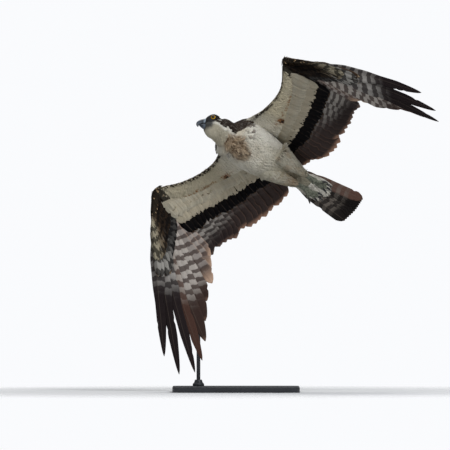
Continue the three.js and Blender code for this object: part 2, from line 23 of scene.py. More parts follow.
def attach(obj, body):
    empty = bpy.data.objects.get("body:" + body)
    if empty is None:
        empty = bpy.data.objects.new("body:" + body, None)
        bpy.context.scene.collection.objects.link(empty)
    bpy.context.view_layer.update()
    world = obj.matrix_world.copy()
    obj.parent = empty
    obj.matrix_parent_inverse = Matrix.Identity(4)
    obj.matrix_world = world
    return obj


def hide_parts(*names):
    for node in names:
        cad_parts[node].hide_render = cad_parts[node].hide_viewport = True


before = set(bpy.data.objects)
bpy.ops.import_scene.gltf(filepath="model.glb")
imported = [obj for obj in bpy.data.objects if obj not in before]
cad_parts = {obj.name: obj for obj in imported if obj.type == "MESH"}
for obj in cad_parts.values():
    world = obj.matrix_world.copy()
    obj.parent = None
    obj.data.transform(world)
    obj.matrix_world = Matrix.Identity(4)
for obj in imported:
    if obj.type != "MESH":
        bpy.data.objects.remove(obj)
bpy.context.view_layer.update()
MM = 0.001
BODY = "root"
Array = np.ndarray
Pair = tuple[Array, Array]
Widths = Callable[[Array], Pair]
LOG = logging.getLogger("osprey")


# Numbers and vectors


def vec(x: float, y: float, z: float) -> Array:
    """A point or direction."""
    return np.array([x, y, z], float)


def unit(a: Array) -> Array:
    """The same directions with length 1."""
    return a / np.maximum(np.linalg.norm(a, axis=-1, keepdims=True), 1e-9)


def mix(a: Array | float, b: Array | float, t: Array | float) -> Array:
    """Blend from a to b."""
    return a + (b - a) * t


def smooth(x: Array | float, low: float, high: float) -> Array:
    """A soft step from 0 at low to 1 at high."""
    t = np.clip((x - low) / (high - low), 0, 1)
    return t * t * (3 - 2 * t)


def circle(count: int) -> Array:
    """Angles of a full turn in even steps."""
    return np.linspace(0, 2 * pi, count, endpoint=False)


def blob(a: Array, b: Array) -> Array:
    """A soft round spot, 1 where both are 0."""
    return np.exp(-(a**2) - b**2)


def dot(a: Array, b: Array) -> Array:
    """Row by row dot product, kept as a column."""
    return np.sum(a * b, axis=-1, keepdims=True)


def spots(*rows: tuple[float, float, float]) -> list[Array]:
    """Several points."""
    return [vec(*row) for row in rows]


def square_to(a: Array, direction: Array) -> Array:
    """The part of a that is at right angles to a unit direction, as a unit vector."""
    return unit(a - dot(a, direction) * direction)


def spline(points: Sequence[Array], t: float) -> Array:
    """A point on a centripetal Catmull-Rom curve.

    Args:
        points: the points that the curve passes through.
        t: share of the way, counted in spans.

    Returns:
        The point.
    """
    p = np.asarray(points, float)
    at = t * (len(p) - 1)
    i = min(int(at), len(p) - 2)
    w = at - i
    p1, p2 = p[i], p[i + 1]
    p0 = p[i - 1] if i > 0 else 2 * p[0] - p[1]
    p3 = p[i + 2] if i + 2 < len(p) else 2 * p[-1] - p[-2]
    d0, d1, d2 = (max(np.linalg.norm(b - a) ** 0.5, 1e-4) for a, b in ((p0, p1), (p1, p2), (p2, p3)))
    m1 = ((p1 - p0) / d0 - (p2 - p0) / (d0 + d1) + (p2 - p1) / d1) * d1
    m2 = ((p2 - p1) / d1 - (p3 - p1) / (d1 + d2) + (p3 - p2) / d2) * d1
    return p1 + m1 * w + (3 * (p2 - p1) - 2 * m1 - m2) * w**2 + (2 * (p1 - p2) + m1 + m2) * w**3


def colour(code: str) -> Array:
    """A hex colour as linear light."""
    c = np.array([int(code[i : i + 2], 16) / 255 for i in (0, 2, 4)])
    return np.where(c <= 0.04045, c / 12.92, ((c + 0.055) / 1.055) ** 2.4)


def rgba(code: str) -> list[float]:
    """A hex colour as linear light, with full cover."""
    return [*colour(code).tolist(), 1.0]


def shades(*codes: str) -> list[Array]:
    """Several hex colours as linear light."""
    return [colour(c) for c in codes]


def mottle(points: Array, size: float, seed: float) -> Array:
    """Smooth noise from about -1 to 1 at each point, with lumps of the given size in mm."""
    return np.array([noise.noise(Vector(p) / size + Vector((seed, seed * 0.7, -seed))) for p in points]) * 1.6


# Pose of the bird


def body_axes(pitch: float, roll: float, climb: float) -> tuple[Array, Array, Array]:
    """Forward, left and up on the bird, in the part's frame.

    Args:
        pitch: turn of the body towards the viewer, in degrees.
        roll: turn about its own length.
        climb: slope of its length in the picture.

    Returns:
        The three unit vectors.
    """
    pitch, roll, climb = (radians(a) for a in (pitch, roll, climb))
    rise = vec(-cos(climb), 0, sin(climb))
    across = vec(sin(climb), 0, cos(climb))
    viewer = vec(0, -1, 0)
    forward = rise * cos(pitch) + viewer * sin(pitch)
    left = -rise * sin(pitch) * sin(roll) + across * cos(roll)
    left = unit(left + viewer * cos(pitch) * sin(roll))
    return forward, left, unit(np.cross(forward, left))


CHEST = vec(18, -50, 655)
FORWARD, LEFT, UP = body_axes(25, 24, 34.5)
HEAD = vec(-56, -92, 699)
FACE = unit(vec(-0.94, -0.3, 0.1))
CROWN = square_to(vec(0.02, 0.46, 0.88), FACE)
HEAD_LEFT = np.cross(CROWN, FACE)
EYE_AT = (8.5, 16.2, 4.6)
EYE_R = 8.2
EYE_OPEN = 6.1
SOCKET = 16


@dataclass(frozen=True)
class Axes:
    """A middle with directions forward, to the left and up."""

    middle: Array
    ways: Array

    def point(self, x: float, y: float, z: float) -> Array:
        """A point given along the three directions."""
        return self.middle + self.ways[0] * x + self.ways[1] * y + self.ways[2] * z

    def place(self, points: Array) -> Array:
        """How far points lie along each direction, as three rows."""
        return ((points - self.middle) @ self.ways.T).T


BODY_AXES = Axes(CHEST, np.stack([FORWARD, LEFT, UP]))
HEAD_AXES = Axes(HEAD, np.stack([FACE, HEAD_LEFT, CROWN]))
on_body = BODY_AXES.point
on_head = HEAD_AXES.point


# Meshes


@dataclass
class MeshData:
    """Points in mm and faces that grow piece by piece, with values carried by each point."""

    points: list[Array] = field(default_factory=list)
    faces: list[tuple[int, ...]] = field(default_factory=list)
    values: dict[str, list[Array]] = field(default_factory=dict)
    count: int = 0

    def add(self, points: Array, faces: Sequence[Sequence[int]], **values: Array) -> None:
        """Appends a piece.

        Args:
            points: its points.
            faces: its faces, counted from its own first point.
            values: one row for each point, or one row for them all.
        """
        n = len(points)
        self.points.append(np.asarray(points, float))
        self.faces.extend(tuple(i + self.count for i in f) for f in faces)
        for name, rows in values.items():
            rows = np.atleast_2d(np.asarray(rows, float))
            self.values.setdefault(name, []).append(np.repeat(rows, n, 0) if len(rows) == 1 else rows)
        self.count += n

    def build(self, name: str, material: Material | None = None, uv: str | None = None) -> Object:
        """Makes the scene object.

        Args:
            name: the object's name.
            material: its material.
            uv: the value that becomes a UV map of that name.

        Returns:
            The linked object.
        """
        mesh = bpy.data.meshes.new(name)
        mesh.from_pydata((np.concatenate(self.points) * MM).tolist(), [], self.faces)
        slots = {1: ("FLOAT", "value"), 3: ("FLOAT_VECTOR", "vector"), 4: ("FLOAT_COLOR", "color")}
        for key, rows in self.values.items():
            data = np.concatenate(rows).astype(np.float32)
            if key == uv:
                corner = np.zeros(len(mesh.loops), np.int32)
                mesh.loops.foreach_get("vertex_index", corner)
                mesh.uv_layers.new(name=key).data.foreach_set("uv", data[corner, :2].ravel())
            else:
                kind, slot = slots[data.shape[1]]
                mesh.attributes.new(key, kind, "POINT").data.foreach_set(slot, data.ravel())
        mesh.validate()
        dress(mesh, material)
        return enlist(name, mesh)


def enlist(name: str, data: ID) -> Object:
    """Makes an object of a mesh, lamp or camera and puts it in the scene."""
    obj = bpy.data.objects.new(name, data)
    bpy.context.scene.collection.objects.link(obj)
    return obj


def dress(mesh: Mesh, material: Material | None = None) -> None:
    """Shades a mesh smooth and makes a material, if there is one, its only one."""
    if material:
        mesh.materials.clear()
        mesh.materials.append(material)
    mesh.polygons.foreach_set("use_smooth", np.full(len(mesh.polygons), True))
    mesh.update()


def applied(obj: Object, name: str | None = None) -> Object:
    """Turns an object with modifiers into a plain mesh object and removes the first one.

    Args:
        obj: the object with live modifiers.
        name: the new object's name, or the old one.

    Returns:
        The plain object.
    """
    name = name or obj.name
    graph = bpy.context.evaluated_depsgraph_get()
    mesh = bpy.data.meshes.new_from_object(obj.evaluated_get(graph))
    bpy.data.objects.remove(obj)
    return enlist(name, mesh)


def melted(obj: Object, voxel: float, rounds: int) -> Object:
    """Joins an object's forms into one closed skin with soft creases.

    Args:
        obj: the object.
        voxel: size in mm of the finest form that stays.
        rounds: how often it is smoothed.

    Returns:
        The plain object.
    """
    remesh = obj.modifiers.new("Remesh", "REMESH")
    remesh.mode = "VOXEL"
    remesh.voxel_size = voxel * MM
    soften = obj.modifiers.new("Smooth", "SMOOTH")
    soften.factor = 0.5
    soften.iterations = rounds
    return applied(obj)


def turn_out(mesh: Mesh) -> None:
    """Turns every closed shell's faces outwards."""
    shell = bmesh.new()
    shell.from_mesh(mesh)
    bmesh.ops.recalc_face_normals(shell, faces=shell.faces)
    shell.to_mesh(mesh)
    shell.free()


def mesh_rows(mesh: Mesh, normals: bool = False) -> Array:
    """Every point of a mesh in mm, or every point's normal."""
    rows = np.zeros(len(mesh.vertices) * 3, np.float32)
    (mesh.vertex_normals if normals else mesh.vertices).foreach_get("vector" if normals else "co", rows)
    rows = rows.reshape(-1, 3).astype(float)
    return rows if normals else rows / MM


def near_tree(points: Array) -> KDTree:
    """A table that finds points by place."""
    tree = KDTree(len(points))
    for i, p in enumerate(points):
        tree.insert(Vector(p), i)
    tree.balance()
    return tree


def quads(rows: int, sides: int, closed: bool = False) -> list[tuple[int, ...]]:
    """Faces between rings of points that follow each other.

    Args:
        rows: how many rings.
        sides: points on each ring.
        closed: whether the last ring joins the first.

    Returns:
        The faces, ring by ring.
    """
    faces = []
    for i in range(rows if closed else rows - 1):
        near, far = i * sides, (i + 1) % rows * sides
        for k in range(sides):
            m = (k + 1) % sides
            faces.append((near + k, near + m, far + m, far + k))
    return faces


def flipped(faces: list[tuple[int, ...]]) -> list[tuple[int, ...]]:
    """The same faces turned inside out."""
    return [tuple(reversed(f)) for f in faces]


@dataclass
class Rings:
    """Rows of a loft: centres and two half axes for each ring."""

    at: Array
    a: Array
    b: Array

    @classmethod
    def of(cls, rows: Sequence[tuple]) -> Rings:
        """Rings from rows of centre and half axes."""
        return cls(*(np.array(c) for c in zip(*rows)))

    def refined(self, count: int) -> Rings:
        """The same loft with more rings on smooth curves."""
        rows = np.hstack([self.at, self.a, self.b])
        fine = np.array([spline(rows, t) for t in np.linspace(0, 1, count)])
        return Rings(fine[:, :3], fine[:, 3:6], fine[:, 6:])

    def shrunk(self, depth: float | Array) -> Rings:
        """The loft with both half axes made shorter by a depth in mm."""
        def less(v: Array) -> Array:
            """Half axes made shorter."""
            size = np.linalg.norm(v, axis=1, keepdims=True)
            return v * np.maximum(size - np.reshape(depth, (-1, 1)), 0.4) / size

        return Rings(self.at, less(self.a), less(self.b))


def loft(rings: Rings, sides: int, section: Callable[[Array], Array] | None = None) -> tuple[Array, list]:
    """A closed tube through rings, with domed ends.

    Args:
        rings: the rings.
        sides: points on each ring.
        section: factor on the second half axis by angle.

    Returns:
        Points, ring by ring with the two end points last, and faces.
    """
    angle = circle(sides)
    second = np.sin(angle) * (section(angle) if section else 1)
    grid = (
        rings.at[:, None]
        + rings.a[:, None] * np.cos(angle)[None, :, None]
        + rings.b[:, None] * second[None, :, None]
    )
    faces = quads(len(rings.at), sides)
    first = len(faces) + sides
    last = first + 1
    for k in range(sides):
        m = (k + 1) % sides
        faces.append((m, k, first))
        faces.append((first - sides + k, first - sides + m, last))
    points = np.concatenate([grid.reshape(-1, 3), [rings.at[0]], [rings.at[-1]]])
    turn = np.dot(np.cross(rings.a[0], rings.b[0]), rings.at[1] - rings.at[0])
    if turn < 0:
        faces = flipped(faces)
    return points, faces


def tube_rings(path: Sequence[Array], radii: Sequence[float], side: Array, flat: float = 1.0) -> Rings:
    """Rings round a path.

    Args:
        path: centres.
        radii: radius at each.
        side: direction of the first half axis, made square to the path.
        flat: the second half axis as a share of the first.

    Returns:
        The rings.
    """
    at = np.array(path, float)
    run = unit(np.gradient(at, axis=0))
    a = square_to(np.broadcast_to(side, at.shape), run)
    b = np.cross(run, a)
    size = np.array(radii, float)[:, None]
    return Rings(at, a * size, b * size * flat)


# Shader maths


def feed(tree: NodeTree, socket: NodeSocket, value: Wire | NodeSocket | Sequence[float] | object) -> None:
    """Links a Wire or a socket to a socket, or sets it to a plain value.

    Args:
        tree: the tree of both.
        socket: what is fed.
        value: what feeds it, where a list may be longer than the socket needs.
    """
    value = value.socket if isinstance(value, Wire) else value
    if isinstance(value, NodeSocket):
        tree.links.new(value, socket)
    elif isinstance(value, (tuple, list)):
        socket.default_value = value[: len(socket.default_value)]
    else:
        socket.default_value = value


def add_node(tree: NodeTree, kind: str, settings: dict | None = None, inputs: dict | None = None) -> Node:
    """Adds any node.

    Args:
        tree: where it goes.
        kind: the node's type.
        settings: properties, set first.
        inputs: sockets by name or number, each a plain value, a socket or a Wire.

    Returns:
        The node.
    """
    node = tree.nodes.new(kind)
    for key, value in (settings or {}).items():
        setattr(node, key, value)
    for key, value in (inputs or {}).items():
        feed(tree, node.inputs[key], value)
    return node


def open_group(name: str, sockets: Sequence[tuple], result: str) -> tuple[NodeTree, object]:
    """Starts a Geometry Nodes tree.

    Args:
        name: the tree's name.
        sockets: name, kind and first value of each input, with None for no value.
        result: the output's name.

    Returns:
        The tree, and its inputs by name.
    """
    tree = bpy.data.node_groups.new(name, "GeometryNodeTree")
    for label, kind, value in sockets:
        socket = tree.interface.new_socket(name=label, in_out="INPUT", socket_type="NodeSocket" + kind)
        if value is not None:
            socket.default_value = value
    tree.interface.new_socket(name=result, in_out="OUTPUT", socket_type="NodeSocketGeometry")
    return tree, add_node(tree, "NodeGroupInput").outputs


def stood(tree: NodeTree, inputs: dict) -> Node:
    """Stands a copy of a shape on each point and makes the copies real."""
    laid = add_node(tree, "GeometryNodeInstanceOnPoints", {}, inputs)
    return add_node(tree, "GeometryNodeRealizeInstances", {}, {"Geometry": laid.outputs[0]})


def close_group(tree: NodeTree, laid: Node, material: Material) -> None:
    """Ends a tree: what the last node makes gets its material and goes out."""
    dressed = add_node(
        tree, "GeometryNodeSetMaterial", {}, {"Geometry": laid.outputs[0], "Material": material}
    )
    add_node(tree, "NodeGroupOutput", {}, {0: dressed.outputs[0]})


class Wire:
    """A value or colour socket in a node tree, with the usual operators."""

    def __init__(self, graph: Graph, socket: NodeSocket) -> None:
        """Keeps the socket and the graph that it belongs to."""
        self.graph = graph
        self.socket = socket

    def __add__(self, other: Wire | float) -> Wire:
        """Sum."""
        return self.graph.math("ADD", self, other)

    def __sub__(self, other: Wire | float) -> Wire:
        """Difference."""
        return self.graph.math("SUBTRACT", self, other)

    def __rsub__(self, other: float) -> Wire:
        """Reflected difference."""
        return self.graph.math("SUBTRACT", other, self)

    def __mul__(self, other: Wire | float) -> Wire:
        """Product."""
        return self.graph.math("MULTIPLY", self, other)

    __radd__ = __add__
    __rmul__ = __mul__

    def sin(self) -> Wire:
        """Sine of radians."""
        return self.graph.math("SINE", self)

    def away(self, middle: float) -> Wire:
        """Distance from a value."""
        return self.graph.math("ABSOLUTE", self - middle)

    def step(self, low: Wire | float, high: Wire | float) -> Wire:
        """A soft step from 0 at low to 1 at high."""
        return self.graph.node(
            "ShaderNodeMapRange", {"interpolation_type": "SMOOTHSTEP"}, {0: self, 1: low, 2: high}
        )


class Graph:
    """One material's node tree."""

    def __init__(self, name: str) -> None:
        """Makes the material with its Principled shader."""
        self.material = bpy.data.materials.new(name)
        self.material.use_nodes = True
        self.tree = self.material.node_tree
        self.shader = self.tree.nodes["Principled BSDF"]

    def node(
        self, kind: str, settings: dict | None = None, inputs: dict | None = None, output: int | str = 0
    ) -> Wire:
        """Adds any node, as add_node does, and returns one of its outputs."""
        return Wire(self, add_node(self.tree, kind, settings, inputs).outputs[output])

    def math(self, operation: str, a: Wire | float, b: Wire | float = 0.0) -> Wire:
        """One Math node."""
        return self.node("ShaderNodeMath", {"operation": operation}, {0: a, 1: b})

    def blend(self, amount: Wire | float, a: Wire | Sequence, b: Wire | Sequence, how: str = "MIX") -> Wire:
        """Mixes two colours."""
        return self.node(
            "ShaderNodeMix", {"data_type": "RGBA", "blend_type": how}, {0: amount, 6: a, 7: b}, 2
        )

    def attribute(self, name: str, output: str = "Color") -> Wire:
        """A value that the mesh carries."""
        return self.node("ShaderNodeAttribute", {"attribute_name": name}, output=output)

    def split(self, wire: Wire) -> tuple[Wire, Wire, Wire]:
        """The three numbers of a vector."""
        made = add_node(self.tree, "ShaderNodeSeparateXYZ", {}, {0: wire})
        return tuple(Wire(self, s) for s in made.outputs)

    def uv(self, name: str) -> tuple[Wire, Wire]:
        """Both coordinates of a UV map."""
        return self.split(self.node("ShaderNodeUVMap", {"uv_map": name}))[:2]

    def place(self) -> Wire:
        """Object coordinates, which are the part's frame in metres."""
        return self.node("ShaderNodeTexCoord", output="Object")

    def noise(self, scale: float, detail: float = 2.0, stretch: tuple = (1, 1, 1)) -> Wire:
        """Noise on Object coordinates, from 0 to 1."""
        at = self.place()
        if stretch != (1, 1, 1):
            at = self.node("ShaderNodeMapping", {}, {"Vector": at, "Scale": stretch})
        return self.node("ShaderNodeTexNoise", {}, {"Vector": at, "Scale": scale, "Detail": detail})

    def finish(
        self, base: Wire | Sequence, rough: Wire | float, height: Wire | None = None,
        depth: float = 0.0002, **others: Wire | float,
    ) -> Material:
        """Feeds the Principled shader.

        Args:
            base: base colour.
            rough: roughness.
            height: bump height.
            depth: bump distance in metres.
            others: other sockets, named with _ for spaces.

        Returns:
            The material.
        """
        sockets = {"Base Color": base, "Roughness": rough}
        sockets.update((key.replace("_", " "), value) for key, value in others.items())
        if height is not None:
            sockets["Normal"] = self.node(
                "ShaderNodeBump", {}, {"Height": height, "Distance": depth, "Strength": 1.0}
            )
        for key, value in sockets.items():
            feed(self.tree, self.shader.inputs[key], value)
        return self.material


# Finishes


@dataclass(frozen=True)
class Palette:
    """Colours of the plumage and of the shade painted on it, as hex codes."""

    white: str = "efece2"
    belly: str = "dcd7c8"
    shade: str = "b9b19a"
    cream: str = "cdc3a8"
    rust: str = "8b5a30"
    stain: str = "a88a66"
    brown: str = "4b3a2d"
    bark: str = "2c221c"
    black: str = "15110f"
    edge: str = "bda88a"
    grey: str = "c9c7c0"
    slate: str = "3a3b3c"
    dusk: str = "8f8870"
    trousers: str = "958e77"
    buff: str = "b89c78"
    cere: str = "8b98a4"
    cere_low: str = "5a6470"


HUE = Palette()


@dataclass(frozen=True)
class CoatFinish:
    """Small body feathers, and the skin below them, coloured by what each feather carries."""

    name: str
    has_vanes: bool = True
    barbs: float = 16.25
    worn: str = "7d715f"
    soft: str = "8f8266"
    root: str = "6f6656"

    def material(self) -> Material:
        """Builds the material."""
        g = Graph(self.name)
        tint = g.attribute("tint")
        fine = g.noise(420, 3)
        soft = g.noise(60)
        worn = g.blend(fine.step(0.35, 0.7) * 0.14, tint, rgba(self.worn), "MULTIPLY")
        shaded = g.blend(soft.step(0.4, 0.65) * 0.16, worn, rgba(self.soft), "MULTIPLY")
        if not self.has_vanes:
            return g.finish(shaded, 0.9, fine, 0.0004, Specular_IOR_Level=0.1)
        across, run = g.uv("vane")
        middle = across.away(0.5) * 2.0
        fringe = g.attribute("fringe")
        rim = run.step(0.62, 0.98) + middle.step(0.6, 1.0) * 0.5
        coat = g.blend(g.math("MINIMUM", rim, 1.0) * 0.7, shaded, fringe)
        root = g.blend((1.0 - run.step(0.0, 0.45)) * 0.15, coat, rgba(self.root), "MULTIPLY")
        barbs = ((run * 9.0 + middle * 3.2) * self.barbs).sin() * 0.5 + 0.5
        shaft = 1.0 - middle.step(0.02, 0.10)
        height = barbs * 0.5 + shaft * 0.6
        return g.finish(root, 0.85, height, 0.0001, Specular_IOR_Level=0.2)


@dataclass(frozen=True)
class VaneFinish:
    """Long feathers with bars, a shaft, barbs and worn tips."""

    name: str
    dust: str = "6a5a4c"
    quill: str = "6e6258"

    def material(self) -> Material:
        """Builds the material."""
        g = Graph(self.name)
        across, run = g.uv("vane")
        middle = across.away(0.5) * 2.0
        lead = across.step(0.46, 0.56)
        count, reach, strength = g.split(g.attribute("bars", "Vector"))
        edge, phase, length = g.split(g.attribute("trim", "Vector"))
        cloud = g.noise(90)
        grain = g.noise(900)
        wobble = (cloud - 0.5) * 0.5
        turns = run * count - middle * 0.22 + wobble + phase
        bar = ((turns * (2 * pi)).sin() * 0.5 + 0.5).step(0.34, 0.6)
        zone = 1.0 - run.step(reach - 0.16, reach + 0.06)
        web = 1.0 - lead * 0.45
        amount = zone * strength * (bar * 0.8 + 0.2) * web
        under = g.blend(amount, g.attribute("ink"), g.attribute("pale"))
        back = g.attribute("back")
        above = g.blend(bar * 0.14 * zone, back, g.attribute("pale"))
        side = g.attribute("side", "Fac")
        both = g.blend(side.step(0.35, 0.65), under, above)
        rim = run.step(1.0 - edge, 1.0) + middle.step(0.84, 1.0) * edge * 1.6
        tipped = g.blend(g.math("MINIMUM", rim, 1.0) * 0.9, both, g.attribute("fringe"))
        dusty = g.blend(grain.step(0.4, 0.75) * 0.3, tipped, rgba(self.dust), "MULTIPLY")
        shaft = 1.0 - middle.step(0.03, 0.09)
        quill = g.blend(shaft * 0.3, dusty, rgba(self.quill))
        barbs = ((run * length - middle * 14.0) * 3.6).sin() * 0.5 + 0.5
        height = barbs * 0.4 + grain * 0.2
        return g.finish(quill, 0.65 + cloud * 0.2, height, 0.0002, Specular_IOR_Level=0.1)


@dataclass(frozen=True)
class HornFinish:
    """Bill and claw horn: dark, smooth and finely grooved."""

    name: str
    dark: str
    light: str
    rough: float = 0.3

    def material(self) -> Material:
        """Builds the material."""
        g = Graph(self.name)
        streak = g.noise(70, 4, (1, 1, 3))
        pits = g.noise(700)
        soft = g.attribute("soft", "Fac")
        horn = g.blend(streak.step(0.3, 0.75), rgba(self.dark), rgba(self.light))
        base = g.blend(soft, horn, g.attribute("tint"))
        return g.finish(
            base, soft * 0.35 + self.rough + pits * 0.1, streak * 0.6 + pits * 0.3, 0.0001, Coat_Weight=0.25
        )


@dataclass(frozen=True)
class EyeFinish:
    """A yellow iris round a black pupil under a glossy front."""

    name: str = "eye_gloss"
    pupil: float = 0.34
    iris: float = 0.5
    yellow: str = "f0b414"
    bright: str = "ffd84a"
    inner: str = "eaa612"
    rim: str = "2a1c0c"

    def material(self) -> Material:
        """Builds the material."""
        g = Graph(self.name)
        turn = g.attribute("turn", "Fac")
        rays = g.noise(900, 3)
        yellow = g.blend(rays, rgba(self.yellow), rgba(self.bright))
        inner = g.blend(turn.step(self.pupil, self.pupil + 0.1), rgba(self.inner), yellow)
        ringed = g.blend(turn.step(self.iris - 0.07, self.iris), inner, rgba(self.rim))
        eye = g.blend(1.0 - turn.step(self.pupil - 0.02, self.pupil + 0.02), ringed, (0.002, 0.002, 0.002, 1))
        return g.finish(
            eye, 0.2, rays, 0.00003, Specular_IOR_Level=0.25, Coat_Weight=0.12, Coat_Roughness=0.02
        )


@dataclass(frozen=True)
class SkinFinish:
    """Bare skin of feet and lids."""

    name: str
    tone: str
    crease: str

    def material(self) -> Material:
        """Builds the material."""
        g = Graph(self.name)
        patches = g.noise(160, 3)
        fine = g.noise(1200, 3)
        cells = g.node(
            "ShaderNodeTexVoronoi", {"feature": "DISTANCE_TO_EDGE"}, {"Vector": g.place(), "Scale": 620.0}
        )
        seams = 1.0 - cells.step(0.0, 0.12)
        tone = g.blend(patches.step(0.3, 0.7), rgba(self.tone), rgba(self.crease))
        base = g.blend(seams * 0.5, tone, rgba(self.crease), "MULTIPLY")
        return g.finish(base, 0.5 + fine * 0.15, fine * 0.3 - seams * 0.6, 0.0002)


@dataclass(frozen=True)
class SteelFinish:
    """Powder-coated steel of the stand."""

    name: str = "powder_coat"
    tone: str = "34363a"
    haze: str = "3f4146"

    def material(self) -> Material:
        """Builds the material."""
        g = Graph(self.name)
        orange_peel = g.noise(1400)
        haze = g.noise(14, 3)
        base = g.blend(haze.step(0.35, 0.7) * 0.5, rgba(self.tone), rgba(self.haze))
        return g.finish(base, 0.38 + haze * 0.15, orange_peel, 0.00006, Metallic=0.3)


# Long feathers


@dataclass(frozen=True)
class Look:
    """Colours of one long feather and how its bars run.

    Attributes:
        ink: main colour below.
        pale: colour of the bars and of a pale base.
        fringe: colour of the worn edge.
        back: colour above.
        bars: how many bars fit in the length.
        reach: share of the length that is barred.
        strength: how strong the pale colour is.
        edge: the fringe's share of the length.
    """

    ink: Array
    pale: Array
    fringe: Array
    back: Array
    bars: float = 8
    reach: float = 0.6
    strength: float = 0.5
    edge: float = 0.05


@dataclass(frozen=True)
class Vane:
    """One long feather's place and shape.

    Attributes:
        root: where it starts.
        tip: where it ends.
        lead: the side of its leading web.
        normal: the wing's upper side.
        widths: half widths of both webs.
        bend: how far its middle rises.
        stations: cross-sections along it.
        quill: the shaft's height at the root.
        camber: how much it arches across.
        columns: points across each web.
        thick: depth of the webs.
        splits: how many barbs are missing.
    """

    root: Array
    tip: Array
    lead: Array
    normal: Array
    widths: Widths
    bend: float
    stations: int
    quill: float
    camber: float = 0.1
    columns: int = 3
    thick: float = 0.5
    splits: int = 1


class FeatherBed:
    """Gathers long feathers into one mesh."""

    def __init__(self, name: str, seed: int) -> None:
        """Starts empty, with its own random draw."""
        self.name = name
        self.data = MeshData()
        self.rng = np.random.default_rng(seed)

    def add(self, vane: Vane, look: Look) -> None:
        """Adds one feather as a closed blade with a raised shaft.

        Args:
            vane: its place and shape.
            look: its colours.
        """
        s = np.linspace(0, 1, vane.stations)
        middle = mix(vane.root, vane.tip, 0.5) + vane.normal * vane.bend
        a, b, c = vane.root, middle, vane.tip
        at = np.outer((1 - s) ** 2, a) + np.outer(2 * s * (1 - s), b) + np.outer(s**2, c)
        run = unit(np.outer(1 - s, b - a) + np.outer(s, c - b))
        face = unit(np.cross(run, vane.lead))
        if np.dot(face[0], vane.normal) < 0:
            face = -face
        side = square_to(np.broadcast_to(vane.lead, run.shape), run)
        lead, trail = (w.copy() for w in vane.widths(s))
        for _ in range(vane.splits):
            k = int(self.rng.integers(vane.stations // 3, vane.stations - 2))
            (trail if self.rng.random() < 0.65 else lead)[k] *= 0.84
        near = np.array([0.09, *np.linspace(0.4, 1, vane.columns - 1)])
        u = np.concatenate([-near[::-1], [0], near])
        w = np.where(u[None, :] < 0, trail[:, None] * u[None, :], lead[:, None] * u[None, :])
        flat = -vane.camber * (w**2) / np.maximum((lead + trail)[:, None] / 2, 0.5)
        half = vane.thick / 2 * (1 - 0.7 * np.abs(u)[None, :] ** 2) * (1 - 0.5 * s[:, None])
        rib = vane.quill * (1 - 0.85 * s[:, None]) * (np.abs(u) < 0.05)[None, :]
        web = at[:, None] + side[:, None] * w[..., None]
        top, low = (web + face[:, None] * h[..., None] for h in (flat + half + rib, flat - half - rib))
        ring = np.concatenate([top, low[:, ::-1]], 1)
        n, m = len(u), 2 * len(u)
        faces = quads(vane.stations, m)
        end = len(faces)
        for k in range(n - 1):
            faces.append((k + 1, k, m - 1 - k, m - 2 - k))
            faces.append((end + k, end + k + 1, end + m - 2 - k, end + m - 1 - k))
        if np.dot(np.cross(side[0], run[0]), face[0]) < 0:
            faces = flipped(faces)
        uvs = np.zeros((vane.stations, m, 2))
        uvs[:, :n, 0] = uvs[:, : n - 1 : -1, 0] = 0.5 + 0.5 * u
        uvs[:, :, 1] = s[:, None]
        over = np.zeros((vane.stations, m, 1))
        over[:, :n] = 1
        length = np.linalg.norm(c - a)
        phase = self.rng.random() * 0.35
        tone = self.rng.normal(1, 0.08)
        self.data.add(
            ring.reshape(-1, 3), faces, vane=uvs.reshape(-1, 2), side=over.reshape(-1, 1),
            ink=[*look.ink * tone, 1], pale=[*look.pale * (0.5 + 0.5 * tone), 1], fringe=[*look.fringe, 1],
            back=[*look.back, 1], bars=[look.bars, look.reach, look.strength],
            trim=[look.edge, phase, length],
        )

    def build(self, material: Material) -> Object:
        """Makes the scene object."""
        return self.data.build(self.name, material, uv="vane")


def taper(s: Array, start: float, power: float) -> Array:
    """Full width up to a share of the length, then closing in to nothing."""
    return np.where(s < start, 1.0, np.clip(1 - (s - start) / (1 - start), 0, 1) ** power)


def blade(lead: float, trail: float, start: float = 0.74, power: float = 0.5, base: float = 0.3) -> Widths:
    """Half widths of a plain round-tipped feather."""
    def widths(s: Array) -> Pair:
        """Both webs by share of the length."""
        w = mix(base, 1, smooth(s, 0, 0.3)) * np.maximum(0.06, taper(s, start, power))
        return lead * w, trail * w

    return widths


def primary_blade(t: float) -> Widths:
    """Half widths of a primary: the outer ones are cut in to fingers over their outer half."""
    finger = smooth(t, 0.45, 0.75)

    def widths(s: Array) -> Pair:
        """Both webs by share of the length."""
        cut = mix(1, mix(1, 0.8, smooth(s, 0.42, 0.6)), finger)
        closing = taper(s, mix(0.86, 0.74, finger), 0.58)
        w = mix(0.3, 1, smooth(s, 0, 0.25)) * cut * np.maximum(0.05, closing)
        notch = mix(1, mix(1, 0.82, smooth(s, 0.4, 0.54)), finger)
        return mix(17, 13, finger) * w, mix(24, 21, finger) * w * notch

    return widths


@dataclass
class Place:
    """Where a flight feather lies."""

    root: Array
    tip: Array
    t: float
    run: Array = None
    lead: Array = None
    normal: Array = None
    length: float = 0.0


